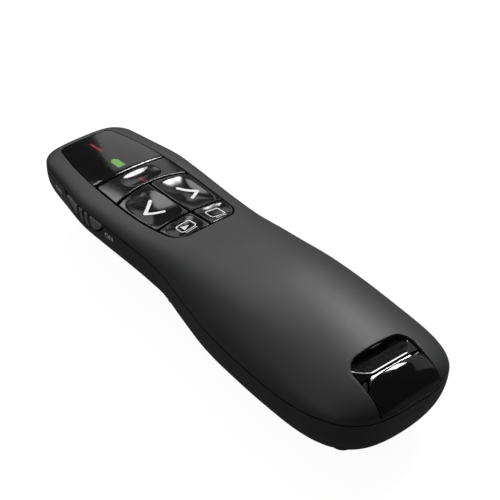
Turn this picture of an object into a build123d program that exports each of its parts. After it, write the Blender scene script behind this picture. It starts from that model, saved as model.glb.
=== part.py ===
from build123d import *
from math import cos, pi, sqrt
import os

# All sizes are in millimetres. A station is a distance measured back from the nose tip.

# Standard parts that the body is built around: two AAA cells and a USB-A plug
cell_diameter = 10.5
cell_length = 44.5
cell_pitch = 11.0
nub_diameter = 3.8
nub_height = 0.8
sleeve_thickness = 0.2
sleeve_inset = 0.6
plug_width = 12.0
plug_height = 4.5
plug_sheet = 0.3
plug_length = 17.0

# Moulded shells
wall = 1.8
seam_gap = 0.2
nose_corner_radius = 4.2
nose_chin_length = 6.0
nose_chin_height = 4.5
nose_rim_radius = 0.7

# Key panel in the head
panel_front = 1.5
panel_front_half_width = 7.3
panel_rear = 50.5
panel_rear_half_width = 9.0
panel_rear_bow = 0.9
panel_side_knots = [(9.2, 10), (10.65, 28), (10.2, 40.5)]
panel_front_corner = 1.5
panel_rear_corner = 3.6
window_rear = 20.1
window_clearance = 0.1
key_border_gap = 0.3
key_gap = 0.4
laser_key_rear = 27.1
key_arc_radius = 36.6
arrow_key_rear = 42.7
key_thickness = 1.3
key_travel = 0.4
dish_depth = 0.6
dish_bowl = 3.0
window_thickness = 1.8
frame_thickness = 1.0
frame_margin = 1.2
frame_clearance = 0.1

# Main board and what it carries
board_top = 16.6
board_thickness = 1.0
board_half_width = 10.5
board_nose_half_width = 8.2
board_front = 3.2
board_rear = 49.5
board_tongue_half_width = 7.5
switch_side = 4.5
switch_height = 1.4
switch_floor = 0.25
switch_chamfer = 0.4
plunger_radius = 1.1
plunger_rise = 0.5
plunger_clearance = 0.08
stem_radius = 1.4
stem_clearance = 0.4
led_length = 1.6
led_width = 0.8
led_height = 0.45

# Battery bay
bay_wall = 1.2
bay_side_clearance = 0.45
bay_front = 55.7
cell_bottom = 4.2
cell_roof_clearance = 0.2
tray_roof = 1.1
contact_sheet = 0.3
spring_length = 3.2
spring_radius = 2.6
spring_wire_radius = 0.25
spring_turns = 3
door_gap = 0.25
door_corner_radius = 2.5
door_end_margin = 0.3
hook_width = 3.0
hook_reach = 1.5
hook_thickness = 1.2
hook_clearance = 0.15
rib_thickness = 1.2

# Receiver dock in the tail
dock_stand_off = 0.1
dock_floor = 1.2
recess_half_width = 8.7
recess_length = 12.3
recess_corner_radius = 2.0
dock_fit = 0.1
dock_wall = 1.1
plug_clearance = 0.15
cap_length = 6.7
cap_side_clearance = 0.2
cap_front_gap = 0.6
cap_corner = 2.0
scoop_rim = 0.7
scoop_skin = 0.4
sleeve_roof = 0.6
sleeve_end = 1.0
bore_end_gap = 0.2
ear_step = 0.3
dock_sink = 0.05
dock_plate_corner = 2.4

# Power slider
slider_front = 15.2
slider_length = 14.4
slider_top_drop = 0.35
slider_travel = 1.5
slider_clearance = 0.3
slider_floor = 13.8
slider_running_gap = 0.15
slider_proud = 0.25
groove_width = 0.55
groove_depth = 0.9
groove_pitch = 2.1
groove_slant = 8

# Laser module
barrel_radius = 2.9
barrel_board_gap = 0.3
barrel_wall = 0.6
barrel_front = board_front
barrel_length = 13.0
aperture_radius = 1.4
bezel_radius = 2.6
bezel_fit = 0.05
lead_radius = 0.22
lead_reach = 3.0
lead_pitch = 0.9
lead_bend = 0.8
diode_can_length = 2.0
diode_flange_length = 1.0
diode_sink = 0.4
diode_can_step = 0.6

# Screws
screw_head_radius = 1.8
screw_head_height = 1.4
screw_radius = 0.95
screw_length = 8.0
screw_fit = 0.05
screw_head_gap = 0.2
screw_shank_gap = 0.1
screw_end_gap = 0.5
pillar_radius = 2.6
boss_radius = 2.1
pillar_top = 12.5
screw_land = 2.0
drive_width = 0.5
drive_share = 1.2

# Overall length follows from the bay and the tail
bay_length = cell_length + spring_length + 2 * contact_sheet
bay_rear = bay_front + bay_length
tail_length = 11.5
length = bay_rear + tail_length

# The laser hangs just under the board
board_bottom = board_top - board_thickness
laser_height = board_bottom - barrel_board_gap - barrel_radius

# Heights stacked upwards from the cells
cell_height = cell_bottom + cell_diameter / 2
bay_top = cell_bottom + cell_diameter + cell_roof_clearance
tray_top = bay_top + tray_roof
dock_bottom = tray_top + dock_stand_off
recess_floor = dock_bottom + dock_floor
plug_bottom = recess_floor + plug_clearance
bay_half_width = (cell_pitch + cell_diameter) / 2 + bay_side_clearance

# Outline of the body: (station, size) knots along the length
belly_sink = 0.15
width_knots = [(0, 11.7), (10, 13.65), (22, 15.5), (48, 15.0), (bay_front + 4.3, 16.55),
               (bay_front + 18.3, 18.4), (length - 27.5, 18.9)]
top_knots = [(0, 19.3), (10, 20.3), (22, 21.0), (36, 21.5), (50, 23.2), (bay_front + 8.3, 25.2),
             (length - 35.5, 26.5)]
seam_knots = [(0, 17.85), (22, 17.7), (46, 17.3), (bay_front + 14.3, 15.15),
              (length - 23.5, 14.6), (length, 16.6)]
belly_knots = [(0, 5.2), (12, 4.6), (36, 4.3), (48, 3.6), (bay_front + 1.3, 1.65),
               (bay_front + 11.3, -belly_sink)]
top_fullness = (0.66, 0.48)
belly_fullness = (0.68, 0.66)
tail_roundness = {"width": 3.5, "top": 2.4, "belly": 2.6}
belly_flat_end = length - 21.5
section_count = 24
halvings = 30
tail_cap = 0.1

# Reach of a cut that only has to clear the body: upwards, downwards, and to either side
above = 40.0
below = -1.0
beside = 30.0


def y_at(station):
    return length / 2 - station


def curve_through(knots):
    """Smooth function through (station, size) knots that never swings past them."""
    steps = [(b[0] - a[0], (b[1] - a[1]) / (b[0] - a[0])) for a, b in zip(knots, knots[1:])]
    slopes = [steps[0][1]]
    for (span_a, rise_a), (span_b, rise_b) in zip(steps, steps[1:]):
        turns_back = rise_a * rise_b <= 0
        slopes.append(0 if turns_back else 2 * rise_a * rise_b / (rise_a + rise_b))
    slopes.append(0)

    def size_at(station):
        i = max(k for k in range(len(steps)) if k == 0 or station >= knots[k][0])
        span = steps[i][0]
        u = min(max((station - knots[i][0]) / span, 0), 1)
        start, end = knots[i][1], knots[i + 1][1]
        blend = u * u * (3 - 2 * u)
        lift = span * u * (1 - u) * (slopes[i] * (1 - u) - slopes[i + 1] * u)
        return start + (end - start) * blend + lift

    return size_at


width_curve = curve_through(width_knots)
top_curve = curve_through(top_knots)
seam_at = curve_through(seam_knots)
belly_curve = curve_through(belly_knots)


def corner_drop(station, run):
    """Share of a quarter-round corner left at a station; 1 at the tip, 0 past its run."""
    u = min(max(1 - station / run, 0), 1)
    return 1 - sqrt(1 - u * u)


def tail_share(station, start, power):
    """Superellipse factor, 1 before the tail begins and 0 at its tip."""
    u = min(max((station - start) / (length - start), 0), 1)
    return (1 - u**power) ** (1 / power)


def half_width_at(station):
    nose = nose_corner_radius * corner_drop(station, nose_corner_radius)
    return (width_curve(station) - nose) * tail_share(station, width_knots[-1][0], tail_roundness["width"])


def top_at(station):
    seam = seam_at(station)
    rim = nose_rim_radius * corner_drop(station, nose_rim_radius)
    crown = top_curve(station) - rim
    return seam + (crown - seam) * tail_share(station, top_knots[-1][0], tail_roundness["top"])


def belly_at(station):
    seam = seam_at(station)
    chin = nose_chin_height * corner_drop(station, nose_chin_length)
    keel = belly_curve(station) + chin
    return seam - (seam - keel) * tail_share(station, belly_flat_end, tail_roundness["belly"])


def body_form(inset):
    """Closed loft of the body, pulled in all round by `inset`."""
    with BuildPart() as form:
        for i in range(section_count + 1):
            run = (1 - cos(pi * i / section_count)) / 2
            place = inset + (length - 2 * inset) * run
            station = min(place, length - tail_cap)
            side = half_width_at(station) - inset
            middle = seam_at(station) - inset
            top = top_at(station) - inset
            bottom = belly_at(station) + inset
            share = station / length
            k_top = top_fullness[0] + (top_fullness[1] - top_fullness[0]) * share
            k_low = belly_fullness[0] + (belly_fullness[1] - belly_fullness[0]) * share
            rise = (top - middle) * k_top
            fall = (middle - bottom) * k_low
            with BuildSketch(Plane.XZ.offset(place - length / 2)):
                with BuildLine():
                    Bezier((side, middle), (side, middle + rise), (side * k_top, top), (0, top))
                    Bezier((0, top), (-side * k_top, top), (-side, middle + rise), (-side, middle))
                    Bezier((-side, middle), (-side, middle - fall), (-side * k_low, bottom), (0, bottom))
                    Bezier((0, bottom), (side * k_low, bottom), (side, middle - fall), (side, middle))
                make_face()
        loft()
    return form.part


def seam_side(drop, reach):
    """Everything on one side of the parting surface, lowered by `drop`, up or down to `reach`."""
    stations = [10, 22, 34, 46, 54, 62, 70, 80, 92, 104]
    line = [(y_at(-2), seam_at(0) - drop)]
    line += [(y_at(s), seam_at(s) - drop) for s in stations if s < length - 4]
    line += [(y_at(length + 2), seam_at(length) - drop)]
    with BuildPart() as side:
        with BuildSketch(Plane.YZ):
            with BuildLine():
                edge = Spline(*line)
                Polyline(edge @ 1, ((edge @ 1).X, reach), ((edge @ 0).X, reach), edge @ 0)
            make_face()
        extrude(amount=beside, both=True)
    return side.part


def export_piece(piece, name):
    piece.part.label = name
    export_step(piece.part, f"parts/{name}.step")


def around(middle, half):
    """Range that reaches equally far on both sides of a middle."""
    return middle - half, middle + half


def block(x_range, station_range, z_range):
    """Upright box between two limits in each direction."""
    with BuildPart() as result:
        with BuildSketch(Plane.XY.offset(z_range[0])):
            with Locations((sum(x_range) / 2, y_at(sum(station_range) / 2))):
                Rectangle(x_range[1] - x_range[0], station_range[1] - station_range[0])
        extrude(amount=z_range[1] - z_range[0])
    return result.part


def post(radius, x, station, z_range):
    """Upright round post."""
    with BuildPart() as result:
        with BuildSketch(Plane.XY.offset(z_range[0])):
            with Locations((x, y_at(station))):
                Circle(radius)
        extrude(amount=z_range[1] - z_range[0])
    return result.part


def prism(plan, bottom, top):
    with BuildPart() as result:
        with BuildSketch(Plane.XY.offset(bottom)):
            add(plan)
        extrude(amount=top - bottom)
    return result.part


def rod(radius, x, z, station_range):
    """Round rod along the body, between two stations."""
    with BuildPart() as result:
        with BuildSketch(Plane.XZ.offset(station_range[0] - length / 2)):
            with Locations((x, z)):
                Circle(radius)
        extrude(amount=station_range[1] - station_range[0])
    return result.part


def lowered(depth):
    """The body's outer form moved straight down, which leaves a skin `depth` thick above it."""
    with BuildPart() as result:
        with Locations((0, 0, -depth)):
            add(form)
    return result.part


# The outer form is trimmed flat underneath, where the part rests
with BuildPart() as trimmed:
    add(body_form(0))
    split(bisect_by=Plane.XY, keep=Keep.TOP)
form = trimmed.part
cavity = body_form(wall)
window_void = lowered(window_thickness)
key_void = lowered(key_thickness)
frame_void = lowered(window_thickness + frame_thickness)

# Plan outline of the key panel, shared by its opening, the frame, the window and the keys
def panel_outline(grow):
    """The panel's plan outline, grown outwards all round, or shrunk by a negative amount."""
    sides = [(panel_front_half_width, panel_front - grow)] + panel_side_knots
    sides += [(panel_rear_half_width, panel_rear - panel_rear_bow + grow)]
    with BuildSketch() as outline:
        with BuildLine():
            right = Spline(*[(x + grow, y_at(s)) for x, s in sides])
            left = Spline(*[(-x - grow, y_at(s)) for x, s in sides])
            Line(right @ 0, left @ 0)
            ThreePointArc(right @ 1, (0, y_at(panel_rear + grow)), left @ 1)
        make_face()
        fillet(outline.vertices().group_by(Axis.Y)[-1], panel_front_corner + grow)
        fillet(outline.vertices().group_by(Axis.Y)[0], panel_rear_corner + grow)
    return outline.sketch


# Well under the skin: a cut down through the panel may start here
panel_cut_bottom = 12.0
key_area = panel_outline(-key_border_gap)
arc_centre = laser_key_rear + key_arc_radius
arrow_middle = (laser_key_rear + arrow_key_rear) / 2 + 1.2
low_key_front = arrow_key_rear + key_gap
low_key_middle = (low_key_front + panel_rear) / 2 - 0.4
laser_middle = (window_rear + laser_key_rear) / 2 + 0.4


def key_plan(front, rear, side):
    """Part of the key area between two stations, on one side (-1, 1) or across (0)."""
    with BuildSketch() as plan:
        add(key_area)
        with Locations((0, y_at((front + rear) / 2))):
            Rectangle(2 * beside, rear - front, mode=Mode.INTERSECT)
        if side:
            with Locations((side * (beside / 2 + key_gap / 2), 0)):
                Rectangle(beside, 2 * length, mode=Mode.INTERSECT)
    return plan.sketch


with BuildSketch() as laser_key_plan:
    add(key_plan(window_rear + key_gap, panel_rear, 0))
    with Locations((0, y_at(arc_centre))):
        Circle(key_arc_radius, mode=Mode.SUBTRACT)
arrow_plans = []
for side in (-1, 1):
    with BuildSketch() as arrow_key_plan:
        add(key_plan(window_rear, arrow_key_rear, side))
        with Locations((0, y_at(arc_centre))):
            Circle(key_arc_radius - key_gap, mode=Mode.INTERSECT)
    arrow_plans.append(arrow_key_plan.sketch)

slideshow_plan = key_plan(low_key_front, panel_rear, -1)
blank_plan = key_plan(low_key_front, panel_rear, 1)

# Each key: name, plan, switch place (x, station), dish centre, dish half sizes
keys = [
    ("laser", laser_key_plan.sketch, (-3.4, laser_middle + 0.3), (0.3, laser_middle), (5.1, 2.5)),
    ("back", arrow_plans[0], (-5.0, arrow_middle), (-5.0, arrow_middle), (4.5, 6.3)),
    ("next", arrow_plans[1], (5.0, arrow_middle), (5.0, arrow_middle), (4.0, 6.3)),
    ("slideshow", slideshow_plan, (-4.3, low_key_middle), (-4.3, low_key_middle), (3.4, 2.5)),
    ("blank", blank_plan, (4.3, low_key_middle), (4.3, low_key_middle), (3.4, 2.5)),
]
switch_top = board_top + switch_height
plunger_top = switch_top + plunger_rise
plunger_bottom = board_top + switch_floor + 2 * key_travel


def top_surface(x, station):
    """Height of the body's skin above a plan point."""
    side = half_width_at(station)
    seam, top = seam_at(station), top_at(station)
    k = top_fullness[0] + (top_fullness[1] - top_fullness[0]) * station / length
    low, high = 0.0, 1.0
    for step in range(halvings):
        t = (low + high) / 2
        across = side * ((1 - t) ** 3 + 3 * (1 - t) ** 2 * t + 3 * (1 - t) * t * t * k)
        low, high = (t, high) if across > abs(x) else (low, t)
    return seam + (top - seam) * (3 * (1 - t) ** 2 * t * k + 3 * (1 - t) * t * t + t**3)


# Keys: a skin of the body with a finger dish, and a stem that reaches down to its plunger
for name, plan, (stem_x, stem_station), (dish_x, dish_station), (dish_a, dish_b) in keys:
    shrink = sqrt(1 - (1 - dish_depth / dish_bowl) ** 2)
    dish = scale(Sphere(1), by=(dish_a / shrink, dish_b / shrink, dish_bowl))
    dish_height = top_surface(dish_x, dish_station) - dish_depth + dish_bowl
    with BuildPart() as stem_void:
        add(key_void)
        add(post(stem_radius, stem_x, stem_station, (plunger_top, above)), mode=Mode.SUBTRACT)
    with BuildPart() as key:
        add(prism(plan, plunger_top, above))
        add(form, mode=Mode.INTERSECT)
        add(stem_void.part, mode=Mode.SUBTRACT)
        with Locations((dish_x, y_at(dish_station), dish_height)):
            add(dish, mode=Mode.SUBTRACT)
    export_piece(key, f"{name}_button")

# Plungers slide in the switch bodies under the keys
for name, plan, (x, station), dish_place, dish_size in keys:
    with BuildPart() as plunger:
        add(post(plunger_radius, x, station, (plunger_bottom, plunger_top)))
    export_piece(plunger, f"{name}_plunger")

with BuildPart() as tact_switches:
    for name, plan, (x, station), dish_place, dish_size in keys:
        with BuildSketch(Plane.XY.offset(board_top)):
            with Locations((x, y_at(station))):
                Rectangle(switch_side, switch_side)
        extrude(amount=switch_height)
        well = post(plunger_radius + plunger_clearance, x, station, (board_top + switch_floor, above))
        add(well, mode=Mode.SUBTRACT)
    upright = tact_switches.edges().filter_by(Axis.Z)
    chamfer(upright, switch_chamfer)
export_piece(tact_switches, "tact_switches")

# Display window with its rear edge rounded over
with BuildPart() as display_window:
    with BuildSketch(Plane.XY.offset(panel_cut_bottom)):
        add(panel_outline(-window_clearance))
        with Locations((0, y_at(window_rear - beside))):
            Rectangle(2 * beside, 2 * beside, mode=Mode.INTERSECT)
    extrude(amount=above)
    add(form, mode=Mode.INTERSECT)
    add(window_void, mode=Mode.SUBTRACT)
export_piece(display_window, "display_window")

# Light guides stand in the frame's two openings under the window
indicator_station = 7.0
battery_mark_station = 15.8
guide_sizes = [(indicator_station, 2.4, 4.8), (battery_mark_station, 2.6, 4.4)]
guide_corner = 0.6
guide_clearance = 0.1
guide_led_gap = 0.05
frame_front = 2.1
with BuildPart() as light_guides:
    for station, wide, long in guide_sizes:
        with BuildSketch(Plane.XY.offset(board_top + led_height + guide_led_gap)):
            with Locations((0, y_at(station))):
                RectangleRounded(wide, long, guide_corner)
        extrude(amount=above)
    add(window_void, mode=Mode.INTERSECT)
export_piece(light_guides, "light_guides")

with BuildPart() as keypad_frame:
    with BuildSketch(Plane.XY.offset(panel_cut_bottom)):
        add(panel_outline(frame_margin))
        with Locations((0, y_at(frame_front + length / 2))):
            Rectangle(2 * beside, length, mode=Mode.INTERSECT)
        for station, wide, long in guide_sizes:
            opening = (wide + 2 * guide_clearance, long + 2 * guide_clearance)
            with Locations((0, y_at(station))):
                RectangleRounded(*opening, guide_corner + guide_clearance, mode=Mode.SUBTRACT)
        for name, plan, (x, station), dish_place, dish_size in keys:
            with Locations((x, y_at(station))):
                Circle(stem_radius + stem_clearance, mode=Mode.SUBTRACT)
    extrude(amount=above)
    add(window_void, mode=Mode.INTERSECT)
    add(frame_void, mode=Mode.SUBTRACT)
    add(block(around(0, beside), (0, length), (0, board_top + frame_clearance)), mode=Mode.SUBTRACT)
export_piece(keypad_frame, "keypad_frame")


# Places of the screws, posts and laser ribs, as (x, station)
rear_screw_station = bay_rear + 3.6
screw_places = [(-10.5, 52.3), (10.5, 52.3), (-11.5, rear_screw_station), (11.5, rear_screw_station)]
pin_places = [(-8.0, 9.0), (8.0, 9.0)]
board_screw_places = [(-8.6, 32.0), (8.6, 32.0)]
board_post_radius = 1.7
pin_radius = 0.7
pin_clearance = 0.1
board_screw_radius = 0.7
board_screw_head = 1.3
board_screw_head_height = 0.7
board_screw_length = 5.0
rib_half_width = 4.2
rib_fit = 0.05
laser_rib_stations = [6.0, 12.5]
laser_rib_thickness = 1.5

# Switch actuator and the slot that it reaches through
actuator_side = 1.4
actuator_station = 23.5
actuator_height = 14.2
actuator_depth = 0.8
actuator_gap = 0.12
actuator_root = 1.1
slot_fit = 0.35
slot_half_height = 1.0
slide_switch_front = 18.0
slide_switch_length = 9.0
slide_switch_width = 3.4
slide_switch_drop = 3.4
pad_thickness = 1.4
pad_heights = (8.0, 17.0)
switch_stand_off = 0.3
switch_face = slider_floor - pad_thickness - switch_stand_off
slider_rear = slider_front + slider_length

# Leaf-shaped recess and knob outlines, seen from the left side, as (station, height below the seam)
knob_edge = [(slider_front, 0.9), (slider_front + 4.8, 3.4), (slider_front + 9.3, 4.0),
             (slider_front + 12.6, 3.2), (slider_rear, 1.3)]


def leaf(edge, top_drop):
    """Side outline under the seam: a straight top and one curved lower edge."""
    points = [(y_at(station), seam_at(station) - drop) for station, drop in edge]
    start = (points[0][0], seam_at(edge[0][0]) - top_drop)
    end = (points[-1][0], seam_at(edge[-1][0]) - top_drop)
    with BuildSketch(Plane.YZ) as outline:
        with BuildLine():
            lower = Spline(*points)
            Polyline(lower @ 1, end, start, lower @ 0)
        make_face()
    return outline.sketch


recess_edge = [(slider_front - slider_travel - slider_clearance, 0.9), (slider_front + 0.6, 3.0),
               (slider_front + 3.6, 4.0), (slider_front + 8.6, 4.5), (slider_front + 12.4, 4.1),
               (slider_rear + slider_clearance, 1.8)]
slot_half_length = actuator_side / 2 + slot_fit
slot_stations = (actuator_station - slider_travel - slot_half_length, actuator_station + slot_half_length)

# Aperture in the nose for the laser's bezel
nose_hole = rod(bezel_radius, 0, laser_height, (-1, wall + 0.5))

# Screw holes: a counterbore up from the belly, then a clearance hole through the land
screw_seat = pillar_top - screw_land
screw_end = screw_seat + screw_length + screw_end_gap
with BuildPart() as screw_holes:
    for x, station in screw_places:
        add(post(screw_head_radius + screw_head_gap, x, station, (below, screw_seat)))
        add(post(screw_radius + screw_shank_gap, x, station, (screw_seat, pillar_top + 1)))
with BuildPart() as boss_holes:
    for x, station in screw_places:
        add(post(screw_radius + screw_fit, x, station, (pillar_top, screw_end)))

door_front = bay_front + door_end_margin
door_rear = bay_rear - door_end_margin


def door_plan(gap):
    with BuildSketch() as plan:
        with Locations((0, y_at((door_front + door_rear) / 2))):
            RectangleRounded(2 * (bay_half_width - gap), door_rear - door_front - 2 * gap, door_corner_radius)
    return plan.sketch


# The lower shell's hollow is the cavity, less what stands up in it
with BuildPart() as lower_hollow:
    add(cavity)
    for x, station in screw_places:
        add(post(pillar_radius, x, station, (below, pillar_top)), mode=Mode.SUBTRACT)
    for x, station in pin_places + board_screw_places:
        add(post(board_post_radius, x, station, (below, board_bottom)), mode=Mode.SUBTRACT)
    for station in laser_rib_stations:
        rib_stations = (station, station + laser_rib_thickness)
        rib = block(around(0, rib_half_width), rib_stations, (below, laser_height))
        add(rib - rod(barrel_radius + rib_fit, 0, laser_height, rib_stations), mode=Mode.SUBTRACT)
    pad_reach = (-slider_floor - wall, -slider_floor + pad_thickness)
    add(block(pad_reach, (slider_front - 4, slider_rear + 2), pad_heights), mode=Mode.SUBTRACT)

window_seat = 17.0
frame_seat = 15.9
door_cut_top = 12.0
behind_nose = block(around(0, beside), (frame_front - frame_clearance, length), (0, above))
frame_room = prism(panel_outline(frame_margin + frame_clearance), frame_seat, above) & behind_nose
slider_room = block((-beside, -slider_floor), (0, length / 2), (0, above))
with BuildPart() as lower_shell:
    add(form)
    add(seam_side(seam_gap, above), mode=Mode.SUBTRACT)
    add(lower_hollow.part, mode=Mode.SUBTRACT)
    add(prism(door_plan(0), below, door_cut_top), mode=Mode.SUBTRACT)
    add(screw_holes.part, mode=Mode.SUBTRACT)
    add(nose_hole, mode=Mode.SUBTRACT)
    add(prism(panel_outline(0), window_seat, above), mode=Mode.SUBTRACT)
    add(frame_room, mode=Mode.SUBTRACT)
    for x, station in pin_places:
        add(post(pin_radius, x, station, (board_bottom, board_top - pin_clearance)))
    for x, station in board_screw_places:
        hole_end = board_top - board_screw_length - screw_end_gap
        add(post(board_screw_radius + screw_fit, x, station, (hole_end, board_bottom)), mode=Mode.SUBTRACT)
    recess_blank = extrude(leaf(recess_edge, -2), amount=-beside, mode=Mode.PRIVATE)
    add(recess_blank & slider_room, mode=Mode.SUBTRACT)
    slot_reach = (-slider_floor - 1, -slider_floor + pad_thickness + 1)
    add(block(slot_reach, slot_stations, around(actuator_height, slot_half_height)), mode=Mode.SUBTRACT)
export_piece(lower_shell, "lower_shell")

# Stations and widths of the receiver's dock
bore_half_width = plug_width / 2 + plug_clearance
bore_top = plug_bottom + plug_height + plug_clearance
sleeve_half_width = bore_half_width + dock_wall
recess_front = length - recess_length
cap_front = length - cap_length
plug_front = cap_front - plug_length
bore_front = plug_front - bore_end_gap
sleeve_front = bore_front - sleeve_end
scoop_rear = cap_front - cap_front_gap - bore_end_gap
ear_rear = scoop_rear + cap_corner + ear_step
dock_side = recess_half_width - dock_fit
scoop_floor = bore_top + scoop_skin
scoop_front = recess_front + dock_fit + scoop_rim
sleeve_top = bore_top + sleeve_roof

# Receiver recess, open to the tail
recess_overrun = 10.0
with BuildPart() as recess_prism:
    with BuildSketch(Plane.XY.offset(recess_floor)):
        with Locations((0, y_at(recess_front + (recess_length + recess_overrun) / 2))):
            RectangleRounded(2 * recess_half_width, recess_length + recess_overrun, recess_corner_radius)
    extrude(amount=above)
recess = recess_prism.part

with BuildPart() as upper_hollow:
    add(cavity)
    for x, station in screw_places:
        add(post(boss_radius, x, station, (pillar_top + screw_fit, above)), mode=Mode.SUBTRACT)
with BuildPart() as frame_pocket:
    with BuildSketch(Plane.XY.offset(panel_cut_bottom)):
        add(panel_outline(frame_margin + frame_clearance))
        with Locations((0, y_at(frame_front - frame_clearance + length / 2))):
            Rectangle(2 * beside, length, mode=Mode.INTERSECT)
    extrude(amount=above)
    add(window_void, mode=Mode.INTERSECT)

sleeve_room = block(around(0, sleeve_half_width + dock_fit), (bay_front + 20, recess_front + 1),
                    (seam_at(length), sleeve_top + dock_fit))
with BuildPart() as upper_shell:
    add(form)
    add(seam_side(0, -above), mode=Mode.SUBTRACT)
    add(upper_hollow.part, mode=Mode.SUBTRACT)
    add(prism(panel_outline(0), panel_cut_bottom, above), mode=Mode.SUBTRACT)
    add(frame_pocket.part, mode=Mode.SUBTRACT)
    add(recess, mode=Mode.SUBTRACT)
    add(sleeve_room, mode=Mode.SUBTRACT)
    add(boss_holes.part, mode=Mode.SUBTRACT)
export_piece(upper_shell, "upper_shell")

# Battery door: a skin of the belly with two cross ribs, finger grooves and a hook at its front
hinge_height = belly_at(door_front + door_gap)
hook_bottom = belly_at(door_front - hook_reach) + wall + hook_clearance
hook_top = hook_bottom + hook_thickness
hook_rear = door_front + 1.6
door_rib_stations = (bay_front + 14, bay_rear - 12)
door_rib_half_width = bay_half_width - 2.0
door_rib_heights = (wall / 2, cell_bottom - 0.1)
grip_radius = 0.6
grip_height = -0.25
grip_half_width = 6.0
grip_pitch = 2.4
grip_stations = [door_rear - 5 - grip_pitch * i for i in range(3)]
with BuildPart() as battery_door:
    add(prism(door_plan(door_gap), below, door_cut_top))
    add(form, mode=Mode.INTERSECT)
    add(cavity, mode=Mode.SUBTRACT)
    for station in door_rib_stations:
        add(block(around(0, door_rib_half_width), (station, station + rib_thickness), door_rib_heights))
    add(block(around(0, hook_width / 2), (door_front - hook_reach, hook_rear), (hook_bottom, hook_top)))
    add(block(around(0, hook_width / 2), (door_front + door_gap, hook_rear), (hinge_height + 1, hook_top)))
    for station in grip_stations:
        with BuildSketch(Plane.YZ):
            with Locations((y_at(station), grip_height)):
                Circle(grip_radius)
        extrude(amount=grip_half_width, both=True, mode=Mode.SUBTRACT)
export_piece(battery_door, "battery_door")

# Battery tray: a well over the door opening, seated on the lower shell's inner face
tray_half_width = bay_half_width + bay_wall
tray_front = bay_front - bay_wall
tray_rear = bay_rear + bay_wall
strap_width = 2.4
strap_height = 12.6
strap_fit = 0.2
pillar_gap = 0.15
front_wall_cut = (tray_front - 1, bay_front + 1)
hook_gate_half_width = hook_width / 2 + 0.4
hook_gate_top = hook_top + 1.4
strap_gate_heights = (strap_height - strap_fit, strap_height + contact_sheet + strap_fit)
with BuildPart() as battery_tray:
    add(block(around(0, tray_half_width), (tray_front, tray_rear), (below, tray_top)))
    add(cavity, mode=Mode.INTERSECT)
    add(block(around(0, bay_half_width), (bay_front, bay_rear), (2 * below, bay_top)), mode=Mode.SUBTRACT)
    add(block(around(0, hook_gate_half_width), front_wall_cut, (2 * below, hook_gate_top)),
        mode=Mode.SUBTRACT)
    for x, station in screw_places:
        add(post(pillar_radius + pillar_gap, x, station, (below, tray_top + 1)), mode=Mode.SUBTRACT)
    for side in (-1, 1):
        gate_reach = around(side * cell_pitch / 2, strap_width / 2 + strap_fit)
        add(block(gate_reach, front_wall_cut, strap_gate_heights), mode=Mode.SUBTRACT)
export_piece(battery_tray, "battery_tray")

# Cells: the left one points to the nose, the right one to the tail
cell_places = [(-cell_pitch / 2, bay_front + contact_sheet, 1),
               (cell_pitch / 2, bay_rear - contact_sheet, -1)]
cell_radius = cell_diameter / 2
core_radius = cell_radius - sleeve_thickness
with BuildPart() as battery_cells:
    for x, nub_station, way in cell_places:
        with BuildSketch(Plane.XY.offset(cell_height)):
            with BuildLine():
                far = y_at(nub_station + way * cell_length)
                shoulder = y_at(nub_station + way * nub_height)
                tip = y_at(nub_station)
                Polyline((x, far), (x + core_radius, far), (x + core_radius, shoulder),
                         (x + nub_diameter / 2, shoulder), (x + nub_diameter / 2, tip), (x, tip),
                         close=True)
            make_face()
        revolve(axis=Axis((x, 0, cell_height), (0, 1, 0)))
export_piece(battery_cells, "battery_cells")
with BuildPart() as battery_sleeves:
    for x, nub_station, way in cell_places:
        near = nub_station + way * (nub_height + sleeve_inset)
        far = nub_station + way * (cell_length - sleeve_inset)
        ends = sorted([near, far])
        add(rod(cell_radius, x, cell_height, ends))
        add(rod(core_radius, x, cell_height, ends), mode=Mode.SUBTRACT)
export_piece(battery_sleeves, "battery_sleeves")

# Coil springs press on the flat end of each cell
spring_places = [(-cell_pitch / 2, bay_rear - contact_sheet, -1),
                 (cell_pitch / 2, bay_front + contact_sheet, 1)]
with BuildPart() as battery_springs:
    for x, base_station, way in spring_places:
        rise = spring_length - 2 * spring_wire_radius
        base = (x, y_at(base_station + way * spring_wire_radius), cell_height)
        with BuildLine():
            coil = Helix(rise / spring_turns, rise, spring_radius, base, direction=(0, -way, 0))
        with BuildSketch(Plane(coil @ 0, z_dir=coil % 0)):
            Circle(spring_wire_radius)
        sweep(path=coil)
export_piece(battery_springs, "battery_springs")

# Front contacts: a pad behind each cell, and a strap through the tray up to the board
strap_station = bay_front - 2.2
strap_tail = 0.4
pad_half_width = 3.6
pad_drop = 3.8
pad_corner = 1.0
pad_stations = (bay_front, bay_front + contact_sheet)
with BuildPart() as front_contacts:
    for side in (-1, 1):
        x = side * cell_pitch / 2
        with BuildSketch(Plane.YZ.offset(x - strap_width / 2)):
            with BuildLine():
                corner = strap_height + contact_sheet / 2
                pad_y = y_at(bay_front + contact_sheet / 2)
                strap_y = y_at(strap_station)
                Polyline((pad_y, cell_height), (pad_y, corner), (strap_y, corner),
                         (strap_y, board_top + strap_tail))
            trace(line_width=contact_sheet)
        extrude(amount=strap_width)
        add(block(around(x, pad_half_width), pad_stations, (cell_height - pad_drop, strap_height)))
export_piece(front_contacts, "front_contacts")

# Rear bridge joins the two cells
with BuildPart() as bridge_contact:
    with BuildSketch(Plane.XZ.offset(bay_rear - contact_sheet - length / 2)):
        with Locations((0, cell_height)):
            RectangleRounded(cell_pitch + 2 * pad_half_width, 2 * pad_drop, pad_corner)
    extrude(amount=contact_sheet)
export_piece(bridge_contact, "bridge_contact")

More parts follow.
